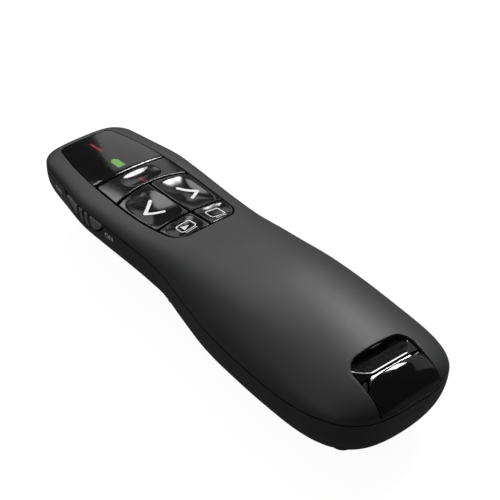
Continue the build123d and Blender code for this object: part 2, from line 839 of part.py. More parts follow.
# Main board
strap_slot = 0.2
board_shoulder = board_front + 5.0
board_end = tray_front - 0.3
half_outline = [(board_nose_half_width, y_at(board_front)), (board_half_width, y_at(board_shoulder)),
                (board_half_width, y_at(board_rear)), (board_tongue_half_width, y_at(board_rear)),
                (board_tongue_half_width, y_at(board_end))]
with BuildPart() as main_board:
    with BuildSketch(Plane.XY.offset(board_bottom)):
        with BuildLine():
            Polyline(*half_outline, *[(-x, y) for x, y in reversed(half_outline)], close=True)
        make_face()
        for side in (-1, 1):
            with Locations((side * cell_pitch / 2, y_at(strap_station))):
                Rectangle(strap_width + 2 * strap_slot, contact_sheet + 2 * strap_slot, mode=Mode.SUBTRACT)
        with Locations(*[(x, y_at(s)) for x, s in pin_places]):
            Circle(pin_radius + pin_clearance, mode=Mode.SUBTRACT)
        with Locations(*[(x, y_at(s)) for x, s in board_screw_places]):
            Circle(board_screw_radius + screw_fit, mode=Mode.SUBTRACT)
    extrude(amount=board_thickness)
export_piece(main_board, "main_board")

# Parts on the board: status LEDs on top; chips, crystal and capacitors underneath
laser_led_station = laser_middle + 0.4
led_places = [(0, indicator_station), (0, battery_mark_station), (0, laser_led_station)]
with BuildPart() as status_leds:
    with BuildSketch(Plane.XY.offset(board_top)):
        with Locations(*[(x, y_at(s)) for x, s in led_places]):
            Rectangle(led_width, led_length)
    extrude(amount=led_height)
export_piece(status_leds, "status_leds")


def chip(name, x, station, wide, long, high, corner):
    with BuildPart() as body:
        with BuildSketch(Plane.XY.offset(board_bottom - high)):
            with Locations((x, y_at(station))):
                RectangleRounded(wide, long, corner)
        extrude(amount=high)
        chamfer(body.faces().sort_by(Axis.Z)[0].edges(), chip_chamfer)
    export_piece(body, name)


chip_chamfer = 0.12
chip("radio_chip", x=0, station=40, wide=6.0, long=6.0, high=0.9, corner=0.2)
chip("crystal", x=5.6, station=45.5, wide=2.5, long=3.2, high=0.7, corner=0.4)
capacitor_place = (-5.2, y_at(43))
capacitor_width = 0.6
capacitor_length = 1.2
capacitor_height = 0.5
with BuildPart() as chip_capacitors:
    with BuildSketch(Plane.XY.offset(board_bottom - capacitor_height)):
        with Locations(capacitor_place):
            with GridLocations(1.6, 2.0, 2, 4):
                Rectangle(capacitor_width, capacitor_length)
    extrude(amount=capacitor_height)
export_piece(chip_capacitors, "chip_capacitors")

# Slide switch on the board's left edge, its actuator, and the power slider's knob over it
knob_back = -slider_floor - slider_running_gap
actuator_half = actuator_side / 2
actuator_room = actuator_half + actuator_gap
switch_stations = (slide_switch_front, slide_switch_front + slide_switch_length)
with BuildPart() as slide_switch:
    add(block((-switch_face, -switch_face + slide_switch_width), switch_stations,
              (board_bottom - slide_switch_drop, board_bottom)))
    add(block((-switch_face - 1, -switch_face + actuator_root + 0.1), slot_stations,
              around(actuator_height, actuator_room)), mode=Mode.SUBTRACT)
export_piece(slide_switch, "slide_switch")
with BuildPart() as switch_actuator:
    add(block((knob_back - actuator_depth + actuator_gap, -switch_face + actuator_root),
              around(actuator_station, actuator_half), around(actuator_height, actuator_half)))
export_piece(switch_actuator, "switch_actuator")

groove_stations = [slider_front + 5.5 + groove_pitch * i for i in range(3)]
groove_middle = 16.0
with BuildPart() as power_slider:
    add(extrude(leaf(knob_edge, slider_top_drop), amount=-beside, mode=Mode.PRIVATE))
    add(block((-beside, knob_back), (0, length / 2), (0, above)), mode=Mode.INTERSECT)
    with Locations((-slider_proud, 0, 0)):
        add(form, mode=Mode.INTERSECT)
    for station in groove_stations:
        reach = (-beside, -half_width_at(station) + groove_depth)
        groove = block(reach, (station, station + groove_width), (8, 30))
        turn = Axis((0, y_at(station), groove_middle), (1, 0, 0))
        add(groove.rotate(turn, -groove_slant), mode=Mode.SUBTRACT)
    add(block((knob_back - actuator_depth, 0), around(actuator_station, actuator_room),
              around(actuator_height, actuator_room)), mode=Mode.SUBTRACT)
export_piece(power_slider, "power_slider")

# Laser module: brass barrel, lens, diode with three leads, and the bezel in the nose
barrel_rear = barrel_front + barrel_length
bore_radius = barrel_radius - barrel_wall
with BuildPart() as laser_barrel:
    add(rod(barrel_radius, 0, laser_height, (barrel_front, barrel_rear)))
    add(rod(bore_radius, 0, laser_height, (barrel_front - 1, barrel_rear + 1)), mode=Mode.SUBTRACT)
    chamfer(laser_barrel.edges().filter_by(GeomType.CIRCLE).group_by(Axis.Y)[-1], 0.2)
export_piece(laser_barrel, "laser_barrel")
lens_fit = 0.02
lens_front = barrel_front + 0.8
lens_thickness = 1.6
lens_curve = 5.0
with BuildPart() as laser_lens:
    add(rod(bore_radius - lens_fit, 0, laser_height, (lens_front, lens_front + lens_thickness)))
    with Locations((0, y_at(lens_front + lens_curve), laser_height)):
        Sphere(lens_curve, mode=Mode.INTERSECT)
export_piece(laser_lens, "laser_lens")
diode_rear = barrel_rear - diode_sink
flange_front = diode_rear - diode_flange_length
can_front = flange_front - diode_can_length
lead_end = y_at(diode_rear + lead_reach)
with BuildPart() as laser_diode:
    add(rod(bore_radius - lens_fit, 0, laser_height, (flange_front, diode_rear)))
    add(rod(bore_radius - diode_can_step, 0, laser_height, (can_front, flange_front)))
    for x in (-lead_pitch, 0, lead_pitch):
        with BuildLine(Plane.YZ.offset(x)):
            lead = FilletPolyline((y_at(diode_rear), laser_height), (lead_end, laser_height),
                                  (lead_end, board_bottom), radius=lead_bend)
        with BuildSketch(Plane(lead @ 0, z_dir=lead % 0)):
            Circle(lead_radius)
        sweep(path=lead)
export_piece(laser_diode, "laser_diode")
bezel_front = 0.2
bezel_rear = wall + 1.0
bezel_lip = 0.4
bezel_throat = 1.2
bezel_edge = laser_height + bezel_radius - bezel_fit
bezel_bore = laser_height + aperture_radius
with BuildPart() as aperture_bezel:
    with BuildSketch(Plane.YZ):
        with BuildLine():
            Polyline((y_at(bezel_front), bezel_edge), (y_at(bezel_rear), bezel_edge),
                     (y_at(bezel_rear), bezel_bore), (y_at(bezel_throat), bezel_bore),
                     (y_at(bezel_front), bezel_edge - bezel_lip), close=True)
        make_face()
    revolve(axis=Axis((0, 0, laser_height), (0, 1, 0)))
export_piece(aperture_bezel, "aperture_bezel")

# Receiver dock: a blind sleeve for the plug, a scooped finger rest and two corner ears
scoop_profile = [(scoop_front, scoop_floor + 2), (scoop_front + 0.6, scoop_floor + 0.5),
                 (scoop_front + 2.2, scoop_floor), (scoop_rear, scoop_floor)]
open_height = scoop_floor + 4
open_rear = y_at(scoop_rear + 4)
with BuildPart() as scoop:
    with BuildSketch(Plane.YZ):
        with BuildLine():
            dip = Spline(*[(y_at(station), z) for station, z in scoop_profile])
            Polyline(dip @ 1, (open_rear, scoop_floor), (open_rear, open_height),
                     (y_at(scoop_front - 0.3), open_height), dip @ 0)
        make_face()
    extrude(amount=dock_side - scoop_rim, both=True)
plate_stations = (recess_front + 1, length - wall - 0.3)
with BuildPart() as dock_plate:
    add(block(around(0, dock_side + 0.5), plate_stations, (dock_bottom, recess_floor)))
    chamfer(dock_plate.edges().filter_by(Axis.Z).group_by(Axis.Y)[0], dock_plate_corner)
ear_inner = dock_side - cap_corner - ear_step
half_dock = [(dock_side, y_at(recess_front + dock_fit)), (dock_side, y_at(ear_rear)),
             (ear_inner, y_at(scoop_rear))]
with BuildPart() as receiver_dock:
    with BuildSketch(Plane.XY.offset(dock_bottom)):
        with BuildLine():
            Polyline(*half_dock, *[(-x, y) for x, y in reversed(half_dock)], close=True)
        make_face()
    extrude(amount=above)
    front_corners = receiver_dock.edges().filter_by(Axis.Z).group_by(Axis.Y)[-1]
    fillet(front_corners, recess_corner_radius)
    with Locations((0, 0, -dock_sink)):
        add(form, mode=Mode.INTERSECT)
    add(scoop.part, mode=Mode.SUBTRACT)
    add(dock_plate.part)
    add(block(around(0, sleeve_half_width), (sleeve_front, recess_front + 1), (dock_bottom, sleeve_top)))
    add(block(around(0, bore_half_width), (bore_front, length), (recess_floor, bore_top)),
        mode=Mode.SUBTRACT)
export_piece(receiver_dock, "receiver_dock")

# Receiver: cap, plug shell, board, tongue and contacts slide out together
plug_top = plug_bottom + plug_height
plug_corner = 0.5
receiver_board_bottom = plug_bottom + 1.3
receiver_board_thickness = 0.8
receiver_board_half_width = 5.4
receiver_board_front = cap_front - 3.0
tab_width = 1.6
tab_depth = 2.0
tab_offset = 3.9
latch_window = 2.0
latch_offset = 3.0
latch_stations = (plug_front + 5.0, plug_front + 7.2)
tongue_thickness = 1.8
tongue_top = plug_bottom + plug_sheet + tongue_thickness
tongue_half_width = plug_width / 2 - plug_sheet - 0.3
contact_width = 1.0
contact_thickness = 0.15
with BuildPart() as receiver_board:
    add(block(around(0, receiver_board_half_width), (receiver_board_front, length - 2.6),
              (receiver_board_bottom, receiver_board_bottom + receiver_board_thickness)))
export_piece(receiver_board, "receiver_board")
with BuildPart() as receiver_plug_shell:
    with BuildSketch(Plane.XZ.offset(plug_front - length / 2)):
        with Locations((0, plug_bottom + plug_height / 2)):
            RectangleRounded(plug_width, plug_height, plug_corner)
            RectangleRounded(plug_width - 2 * plug_sheet, plug_height - 2 * plug_sheet, plug_corner / 2,
                             mode=Mode.SUBTRACT)
    extrude(amount=plug_length)
    for side in (-1, 1):
        add(block(around(side * tab_offset, tab_width / 2), (cap_front - 1, cap_front + tab_depth),
                  (plug_top - plug_sheet, plug_top)))
        window = block(around(side * latch_offset, latch_window / 2), latch_stations,
                       (plug_bottom - 1, plug_top + 1))
        add(window, mode=Mode.SUBTRACT)
export_piece(receiver_plug_shell, "receiver_plug_shell")
with BuildPart() as receiver_tongue:
    add(block(around(0, tongue_half_width), (plug_front + 0.6, receiver_board_front),
              (plug_bottom + plug_sheet, tongue_top)))
export_piece(receiver_tongue, "receiver_tongue")

# The two outer contacts reach further forward than the two inner ones
with BuildPart() as receiver_contacts:
    for x, front in ((-3.5, 1.4), (-1.0, 2.4), (1.0, 2.4), (3.5, 1.4)):
        add(block(around(x, contact_width / 2), (plug_front + front, receiver_board_front - 0.4),
                  (tongue_top, tongue_top + contact_thickness)))
export_piece(receiver_contacts, "receiver_contacts")
cap_side = recess_half_width - cap_side_clearance
half_cap = [(cap_side - cap_corner, y_at(cap_front)), (cap_side, y_at(cap_front + cap_corner)),
            (cap_side, y_at(length + 2))]
with BuildPart() as receiver_cap:
    with BuildSketch(Plane.XY.offset(recess_floor + dock_fit)):
        with BuildLine():
            Polyline(*half_cap, *[(-x, y) for x, y in reversed(half_cap)], close=True)
        make_face()
    extrude(amount=above)
    add(form, mode=Mode.INTERSECT)
    add(receiver_board.part, mode=Mode.SUBTRACT)
    add(receiver_plug_shell.part, mode=Mode.SUBTRACT)
export_piece(receiver_cap, "receiver_cap")


# Screws with a cross recess; case screws point up, board screws point down
def screw(radius, head_radius, head_height, reach, places, seat, way):
    with BuildPart() as result:
        for x, station in places:
            tip = seat + way * reach
            base = seat - way * head_height
            add(post(radius, x, station, (min(seat, tip), max(seat, tip))))
            add(post(head_radius, x, station, (min(seat, base), max(seat, base))))
            drive_floor = base + way * head_height / 2
            drive_length = drive_share * head_radius
            for wide, long in ((drive_width, drive_length), (drive_length, drive_width)):
                drive = block(around(x, wide / 2), around(station, long / 2), sorted((base, drive_floor)))
                add(drive, mode=Mode.SUBTRACT)
        rims = result.faces().group_by(Axis.Z)[0 if way > 0 else -1].edges().filter_by(GeomType.CIRCLE)
        fillet(rims, head_height / 4)
    return result


case_screws = screw(screw_radius, screw_head_radius, screw_head_height, screw_length,
                    screw_places, screw_seat, 1)
export_piece(case_screws, "case_screws")
board_screws = screw(board_screw_radius, board_screw_head, board_screw_head_height, board_screw_length,
                     board_screw_places, board_top, -1)
export_piece(board_screws, "board_screws")
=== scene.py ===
import bpy
import bmesh
import math
from mathutils import Matrix, Vector


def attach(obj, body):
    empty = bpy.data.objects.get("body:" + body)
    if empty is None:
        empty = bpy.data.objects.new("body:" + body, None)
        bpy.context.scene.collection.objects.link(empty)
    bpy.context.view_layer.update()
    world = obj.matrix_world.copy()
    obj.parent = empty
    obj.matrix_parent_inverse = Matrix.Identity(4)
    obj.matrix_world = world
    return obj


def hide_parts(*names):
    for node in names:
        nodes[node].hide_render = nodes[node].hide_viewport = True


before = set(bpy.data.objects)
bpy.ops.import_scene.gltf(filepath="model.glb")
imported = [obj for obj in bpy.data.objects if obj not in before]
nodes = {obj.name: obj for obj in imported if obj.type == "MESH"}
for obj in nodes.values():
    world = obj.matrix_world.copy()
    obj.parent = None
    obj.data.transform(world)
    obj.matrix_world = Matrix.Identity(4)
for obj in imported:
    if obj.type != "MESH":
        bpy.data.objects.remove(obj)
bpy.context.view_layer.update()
print("frame loaded:", len(nodes), "nodes")

# Lengths below are in millimetres; a station is measured back from the nose tip
clicker = {
    "length": 115.5,
    "wall": 1.8,
    "noseCorner": 4.2,
    "chinLength": 6.0,
    "chinHeight": 4.5,
    "noseRim": 0.7,
    "tailCap": 0.1,
    "width": [(0, 11.7), (10, 13.65), (22, 15.5), (48, 15.0), (60, 16.55), (74, 18.4), (88, 18.9)],
    "top": [(0, 19.3), (10, 20.3), (22, 21.0), (36, 21.5), (50, 23.2), (64, 25.2), (80, 26.5)],
    "seam": [(0, 17.85), (22, 17.7), (46, 17.3), (70, 15.15), (92, 14.6), (115.5, 16.6)],
    "belly": [(0, 5.2), (12, 4.6), (36, 4.3), (48, 3.6), (57, 1.65), (67, -0.15)],
    "topFullness": (0.66, 0.48),
    "bellyFullness": (0.68, 0.66),
    "tailWidth": (88, 3.5),
    "tailTop": (80, 2.4),
    "tailBelly": (94, 2.6),
}
length = clicker["length"]


def yAt(station):
    return length / 2 - station


def stationAt(y):
    return length / 2 - y


def clamped(share):
    return min(max(share, 0.0), 1.0)


def roundedOver(u):  # the drop of a quarter round of size 1, from none at 0 to all of it at 1
    u = clamped(u)
    return 1 - math.sqrt(1 - u * u)


def smoothCurve(knots, flatEnd=True):
    steps = [(b[0] - a[0], (b[1] - a[1]) / (b[0] - a[0])) for a, b in zip(knots, knots[1:])]
    slopes = [steps[0][1]]
    for before, after in zip(steps, steps[1:]):
        if flatEnd:  # harmonic slopes never swing past the knots
            turns = before[1] * after[1] <= 0
            slopes.append(0 if turns else 2 * before[1] * after[1] / (before[1] + after[1]))
        else:
            slopes.append((before[1] * after[0] + after[1] * before[0]) / (before[0] + after[0]))
    slopes.append(0 if flatEnd else steps[-1][1])

    def sizeAt(station):
        i = 0
        while i < len(steps) - 1 and station >= knots[i + 1][0]:
            i += 1
        span = steps[i][0]
        u = (station - knots[i][0]) / span
        if flatEnd:
            u = clamped(u)
        blend = u * u * (3 - 2 * u)
        lift = span * u * (1 - u) * (slopes[i] * (1 - u) - slopes[i + 1] * u)
        return knots[i][1] + (knots[i + 1][1] - knots[i][1]) * blend + lift

    return sizeAt


widthCurve = smoothCurve(clicker["width"])
topCurve = smoothCurve(clicker["top"])
seamAt = smoothCurve(clicker["seam"])
bellyCurve = smoothCurve(clicker["belly"])


def tailShare(station, shape):  # the shape is a starting station and a power
    u = clamped((station - shape[0]) / (length - shape[0]))
    return (1 - u ** shape[1]) ** (1 / shape[1])


def halfWidthAt(station):
    corner = clicker["noseCorner"] * roundedOver(1 - station / clicker["noseCorner"])
    return (widthCurve(station) - corner) * tailShare(station, clicker["tailWidth"])


def topAt(station):
    crown = topCurve(station) - clicker["noseRim"] * roundedOver(1 - station / clicker["noseRim"])
    return seamAt(station) + (crown - seamAt(station)) * tailShare(station, clicker["tailTop"])


def bellyAt(station):
    keel = bellyCurve(station) + clicker["chinHeight"] * roundedOver(1 - station / clicker["chinLength"])
    return seamAt(station) - (seamAt(station) - keel) * tailShare(station, clicker["tailBelly"])


def halfSection(station, upper):  # how full the upper or lower half is there, and where it ends
    first, last = clicker["topFullness" if upper else "bellyFullness"]
    return first + (last - first) * station / length, topAt(station) if upper else bellyAt(station)


def sideShare(t, bulge):  # how far out a quarter of a cross-section lies, 1 at the side
    return (1 - t) ** 3 + 3 * (1 - t) ** 2 * t + 3 * (1 - t) * t * t * bulge


def endShare(t, bulge):  # how far up or down it lies, 1 at the crown or the keel
    return 3 * (1 - t) ** 2 * t * bulge + 3 * (1 - t) * t * t + t ** 3


def halving(liesFurther):  # the place from 0 to 1 where liesFurther turns false
    low, high = 0.0, 1.0
    for step in range(22):
        t = (low + high) / 2
        if liesFurther(t):
            low = t
        else:
            high = t
    return t


def quarter(station, t, upper, inset):  # point on a quarter of a cross-section, t = 0 at the side
    side = halfWidthAt(station) - inset
    middle = seamAt(station) - inset
    bulge, end = halfSection(station, upper)
    end += -inset if upper else inset
    return side * sideShare(t, bulge), middle + (end - middle) * endShare(t, bulge)


def surfaceHeight(x, y, upper=True):  # height of the skin over a plan point
    station = min(max(stationAt(y), 0.0), length - clicker["tailCap"])
    side = halfWidthAt(station)
    across = min(abs(x) / side, 1.0)
    bulge, end = halfSection(station, upper)
    t = halving(lambda t: sideShare(t, bulge) > across)
    seam = seamAt(station)
    return seam + (end - seam) * endShare(t, bulge)


def sideReach(station, z):  # half width of the body at a height under the seam
    seam = seamAt(station)
    bulge, belly = halfSection(station, False)
    share = clamped((seam - z) / (seam - belly))
    t = halving(lambda t: endShare(t, bulge) < share)
    return halfWidthAt(station) * sideShare(t, bulge)


# Outlines: sides run between corners, and each corner is rounded by its own radius
def pathLength(points):
    return sum((b - a).length for a, b in zip(points, points[1:]))


def pointAlong(points, run):
    for a, b in zip(points, points[1:]):
        step = (b - a).length
        if run <= step and step > 0:
            return a + (b - a) * (run / step)
        run -= step
    return points[-1].copy()


def roundedOutline(sides, radii, spacing=0.5):
    sides = [[Vector((p[0], p[1])) for p in side] for side in sides]
    outline = []
    for i, side in enumerate(sides):
        before = sides[i - 1]
        radius = radii[i]
        nextRadius = radii[(i + 1) % len(sides)]
        run = pathLength(side)
        if radius > 0:
            corner = side[0]
            start = pointAlong(before, pathLength(before) - radius)
            end = pointAlong(side, radius)
            bends = max(3, int(radius / spacing) + 2)
            for j in range(bends):
                t = j / bends
                inner = start.lerp(corner, 0.5523)  # makes the bend nearly a circle's arc
                outer = end.lerp(corner, 0.5523)
                leaving = (1 - t) ** 3 * start + 3 * (1 - t) ** 2 * t * inner
                outline.append(leaving + 3 * (1 - t) * t * t * outer + t ** 3 * end)
        count = max(1, int((run - radius - nextRadius) / spacing))
        for j in range(count):
            outline.append(pointAlong(side, radius + (run - radius - nextRadius) * j / count))
    return outline


def grown(outline, amount):  # a counter-clockwise outline moved outwards
    result = []
    for i, point in enumerate(outline):
        ahead = (outline[(i + 1) % len(outline)] - outline[i - 1]).normalized()
        result.append(point + Vector((ahead.y, -ahead.x)) * amount)
    return result


def cornered(corners, radii, spacing=0.5):  # straight sides between corners
    sides = [[corner, corners[(i + 1) % len(corners)]] for i, corner in enumerate(corners)]
    return roundedOutline(sides, radii, spacing)


def boxOutline(halfWide, frontY, rearY, radius, spacing=0.5):
    corners = [(-halfWide, rearY), (halfWide, rearY), (halfWide, frontY), (-halfWide, frontY)]
    return cornered(corners, [radius] * 4, spacing)


def plan(points):  # (x, station) pairs as (x, y)
    return [(x, yAt(station)) for x, station in points]


# Mesh makers; pieces are made in millimetres and become metres when they are finished
millimetre = Matrix.Scale(0.001, 4)


def newObject(name, bm):
    mesh = bpy.data.meshes.new(name)
    bm.to_mesh(mesh)
    bm.free()
    piece = bpy.data.objects.new(name, mesh)
    bpy.context.scene.collection.objects.link(piece)
    return piece


def ringStack(rings):  # a skin extruded from ring to ring
    bm = bmesh.new()
    spot = bm.verts.layers.int.new("spot")
    bmesh.ops.create_circle(bm, cap_ends=False, radius=1, segments=len(rings[0]))
    bm.verts.ensure_lookup_table()
    for i, v in enumerate(bm.verts):
        v[spot] = i
        v.co = rings[0][i]
    edges = firstEdges = bm.edges[:]
    for ring in rings[1:]:
        made = bmesh.ops.extrude_edge_only(bm, edges=edges)["geom"]
        verts = {g for g in made if isinstance(g, bmesh.types.BMVert)}
        for v in verts:
            v.co = ring[v[spot]]
        edges = [g for g in made if isinstance(g, bmesh.types.BMEdge) and verts.issuperset(g.verts)]
    for ends in (firstEdges, edges):
        bmesh.ops.edgeloop_fill(bm, edges=ends)
    bmesh.ops.recalc_face_normals(bm, faces=bm.faces)
    return bm


def slices(bm, axis, spacing, extra=()):  # edge loops for the bend to follow; the extra ones lie on creases
    low = min(v.co[axis] for v in bm.verts)
    high = max(v.co[axis] for v in bm.verts)
    normal = Vector((0, 0, 0))
    normal[axis] = 1
    first, last = math.floor(low / spacing) + 1, math.ceil(high / spacing)
    for place in [i * spacing for i in range(first, last)] + list(extra):
        point = Vector((0, 0, 0))
        point[axis] = place
        geometry = bm.verts[:] + bm.edges[:] + bm.faces[:]
        bmesh.ops.bisect_plane(bm, geom=geometry, plane_co=point, plane_no=normal, dist=0.0005)


# A flat plate with rounded rims, bent to topHeight and, where given, to bottomHeight
def plate(outline, thickness, topHeight, spacing, edge, bottomHeight=None, lowEdge=0.0, creases=()):
    bm = bmesh.new()
    floor = bm.faces.new([bm.verts.new((p.x, p.y, 0)) for p in outline])
    made = bmesh.ops.extrude_face_region(bm, geom=[floor])["geom"]
    top = [g for g in made if isinstance(g, bmesh.types.BMVert)]
    bmesh.ops.translate(bm, vec=(0, 0, thickness), verts=top)
    bmesh.ops.recalc_face_normals(bm, faces=bm.faces)
    for level, width in ((thickness, edge), (0, lowEdge)):
        if width > 0:
            rim = [e for e in bm.edges if all(abs(v.co.z - level) < 1e-6 for v in e.verts)]
            bmesh.ops.bevel(bm, geom=rim, offset=width, offset_type="OFFSET", affect="EDGES", segments=3,
                            profile=0.5, material=-1, clamp_overlap=False)
    bmesh.ops.connect_verts_concave(bm, faces=bm.faces)
    slices(bm, 0, spacing)
    slices(bm, 1, spacing, creases)
    for v in bm.verts:
        if bottomHeight is None or v.co.z > thickness / 2:
            v.co.z = topHeight(v.co.x, v.co.y) - (thickness - v.co.z)
        else:
            v.co.z = bottomHeight(v.co.x, v.co.y) + v.co.z
    return bm


def box(xRange, yRange, zRange):
    ranges = (xRange, yRange, zRange)
    bm = bmesh.new()
    bmesh.ops.create_cube(bm, size=1)
    bmesh.ops.scale(bm, vec=[high - low for low, high in ranges], verts=bm.verts)
    bmesh.ops.translate(bm, vec=[(low + high) / 2 for low, high in ranges], verts=bm.verts)
    return bm


def block(xRange, stations, zRange):  # a box between two stations, and across the middle if xRange is one number
    if not isinstance(xRange, tuple):
        xRange = (-xRange, xRange)
    return box(xRange, [yAt(station) for station in stations], zRange)


def rod(radius, depth, segments):
    bm = bmesh.new()
    bmesh.ops.create_cone(bm, cap_ends=True, segments=segments, radius1=radius, radius2=radius, depth=depth)
    return bm


def joined(*parts):  # several bmeshes as one
    whole = bmesh.new()
    for part in parts:
        loose = bpy.data.meshes.new("loose")
        part.to_mesh(loose)
        part.free()
        whole.from_mesh(loose)
        bpy.data.meshes.remove(loose)
    return whole


def turned(profile, centre, segments, axis="Z"):  # a profile of (radius, height) spun round an axis
    bm = bmesh.new()
    verts = [bm.verts.new((r, 0, h)) for r, h in profile]
    edges = [bm.edges.new(pair) for pair in zip(verts, verts[1:])]
    bmesh.ops.spin(bm, geom=verts + edges, cent=(0, 0, 0), axis=(0, 0, 1), angle=2 * math.pi, steps=segments,
                   use_merge=True)
    bmesh.ops.remove_doubles(bm, verts=bm.verts, dist=0.0005)
    bmesh.ops.recalc_face_normals(bm, faces=bm.faces)
    if axis == "Y":
        bmesh.ops.rotate(bm, cent=(0, 0, 0), matrix=Matrix.Rotation(-math.pi / 2, 3, "X"), verts=bm.verts)
    bmesh.ops.translate(bm, vec=centre, verts=bm.verts)
    return bm


def turnFaces(bm, way):  # every face looks that way
    bmesh.ops.recalc_face_normals(bm, faces=bm.faces)
    for face in bm.faces:
        if face.normal.dot(way) < 0:
            face.normal_flip()


def change(target, cutter, operation="DIFFERENCE"):  # applies the boolean and removes the cutter
    step = target.modifiers.new("cut", "BOOLEAN")
    step.solver = "EXACT"
    step.operation = operation
    step.object = cutter
    bpy.context.view_layer.update()
    seen = target.evaluated_get(bpy.context.evaluated_depsgraph_get())
    mesh = bpy.data.meshes.new_from_object(seen)
    target.modifiers.clear()
    target.data = mesh
    bpy.data.objects.remove(cutter)


def cut(target, bm, operation="DIFFERENCE"):
    change(target, newObject("cutter", bm), operation)


def finishPiece(piece, material, bodyName, replaced, sharp=38, weighted=True):
    mesh = piece.data
    mesh.transform(millimetre)
    bm = bmesh.new()
    bm.from_mesh(mesh)
    for face in bm.faces:
        face.smooth = True
    for e in bm.edges:
        if len(e.link_faces) == 2:
            e.smooth = e.calc_face_angle(0) < math.radians(sharp)
    bm.to_mesh(mesh)
    bm.free()
    mesh.materials.clear()
    mesh.materials.append(material)
    if weighted:
        normals = piece.modifiers.new("evenShading", "WEIGHTED_NORMAL")
        normals.keep_sharp = True
    if replaced:
        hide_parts(*replaced)
    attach(piece, bodyName)


# Finishes
def setInputs(node, inputs):  # to values, or to other nodes' outputs
    for name, value in inputs.items():
        if isinstance(value, bpy.types.NodeSocket):
            node.id_data.links.new(value, node.inputs[name])
        else:
            node.inputs[name].default_value = value


def addNode(tree, kind, inputs=None, **settings):
    node = tree.nodes.new("ShaderNode" + kind)
    for name, value in settings.items():
        setattr(node, name, value)
    setInputs(node, inputs or {})
    return node


def mathNode(tree, operation, *values):
    return addNode(tree, "Math", dict(enumerate(values)), operation=operation).outputs[0]


def principled(material):
    return material.node_tree.nodes["Principled BSDF"]


def newMaterial(name, colour, roughness, metallic=0.0, specular=0.5):
    material = bpy.data.materials.new(name)
    material.use_nodes = True
    setInputs(principled(material), {"Base Color": (*colour, 1), "Roughness": roughness, "Metallic": metallic,
                                     "Specular IOR Level": specular})
    return material


def objectPlace(tree):
    return addNode(tree, "TexCoord").outputs["Object"]


def noiseOn(tree, scale, detail=3.0):
    return addNode(tree, "TexNoise", {"Vector": objectPlace(tree), "Scale": scale, "Detail": detail}).outputs["Fac"]


def spread(tree, source, low, high):
    limits = {"Value": source, "From Min": 0.3, "From Max": 0.7, "To Min": low, "To Max": high}
    return addNode(tree, "MapRange", limits).outputs["Result"]


def tint(tree, source, dark, light):
    share = spread(tree, source, 0, 1)
    return addNode(tree, "Mix", {0: share, 6: (*dark, 1), 7: (*light, 1)}, data_type="RGBA").outputs[2]


def mouldedPlastic(name, dark, light, roughness, grain=0.0, grainScale=6000, specular=0.5, wander=0.06):
    material = newMaterial(name, light, roughness, specular=specular)
    tree, shader = material.node_tree, principled(material)
    sheen = spread(tree, noiseOn(tree, 900), roughness - wander, roughness + wander)
    setInputs(shader, {"Base Color": tint(tree, noiseOn(tree, 180), dark, light), "Roughness": sheen})
    if grain:
        bumps = {"Strength": grain, "Distance": 0.00005, "Height": noiseOn(tree, grainScale, 2.0)}
        setInputs(shader, {"Normal": addNode(tree, "Bump", bumps).outputs["Normal"]})
    return material


def metalFinish(name, dark, light, roughness):  # finely brushed along X
    material = newMaterial(name, light, roughness, metallic=1.0)
    tree = material.node_tree
    stretched = addNode(tree, "Mapping", {"Vector": objectPlace(tree), "Scale": (400, 8000, 8000)}).outputs["Vector"]
    noise = addNode(tree, "TexNoise", {"Vector": stretched, "Scale": 1.0}).outputs["Fac"]
    setInputs(principled(material), {"Base Color": tint(tree, noise, dark, light),
                                     "Roughness": spread(tree, noise, roughness - 0.06, roughness + 0.1)})
    return material


# Light behind the skin, falling off with the distance to a short line along the body
def glowBand(material, centre, halfLong, core, halo, colour, strength):
    tree = material.node_tree
    shift = {"Vector": objectPlace(tree), "Location": (-centre[0] / 1000, -centre[1] / 1000, 0)}
    split = addNode(tree, "SeparateXYZ", {"Vector": addNode(tree, "Mapping", shift).outputs["Vector"]})
    sideways = split.outputs["X"]
    pastEnd = mathNode(tree, "SUBTRACT", mathNode(tree, "ABSOLUTE", split.outputs["Y"]), halfLong / 1000)
    along = mathNode(tree, "MAXIMUM", pastEnd, 0.0)
    squares = mathNode(tree, "ADD", mathNode(tree, "MULTIPLY", along, along),
                       mathNode(tree, "MULTIPLY", sideways, sideways))
    reach = mathNode(tree, "SQRT", squares)

    def level(size, power):
        limits = {"Value": reach, "From Min": 0, "From Max": size / 1000, "To Min": power, "To Max": 0}
        return addNode(tree, "MapRange", limits, interpolation_type="SMOOTHSTEP").outputs["Result"]

    both = mathNode(tree, "ADD", level(core, strength), level(halo, strength * 0.12))
    setInputs(principled(material), {"Emission Color": (*colour, 1), "Emission Strength": both})


blacks = ((0.002, 0.002, 0.0022), (0.003, 0.003, 0.0033))
softShell = mouldedPlastic("softTouchCharcoal", (0.014, 0.0145, 0.015), (0.016, 0.0165, 0.017), 0.52,
                           grain=0.25, grainScale=5200, specular=0.6, wander=0.015)
gloss = mouldedPlastic("pianoBlack", *blacks, 0.15, wander=0.02)
deepGloss = mouldedPlastic("mirrorBlack", *blacks, 0.07, wander=0.02)
windowGloss = mouldedPlastic("smokedWindow", *blacks, 0.08, wander=0.03)
glowBand(windowGloss, (-0.45, yAt(7.2)), 1.9, 0.48, 1.3, (0.6, 0.08, 0.11), 0.5)
laserGloss = mouldedPlastic("pianoBlackRedLine", *blacks, 0.16, wander=0.03)
glowBand(laserGloss, (0, yAt(24.9)), 1.1, 0.42, 1.3, (0.5, 0.05, 0.09), 0.45)
satin = mouldedPlastic("satinBlack", (0.13, 0.13, 0.132), (0.16, 0.16, 0.162), 0.34, grain=0.1)
innerPlastic = mouldedPlastic("mouldedInner", (0.02, 0.02, 0.022), (0.03, 0.03, 0.032), 0.5, grain=0.3)
whitePrint = mouldedPlastic("whitePrint", (0.88, 0.88, 0.88), (0.92, 0.92, 0.92), 0.45, wander=0.03)
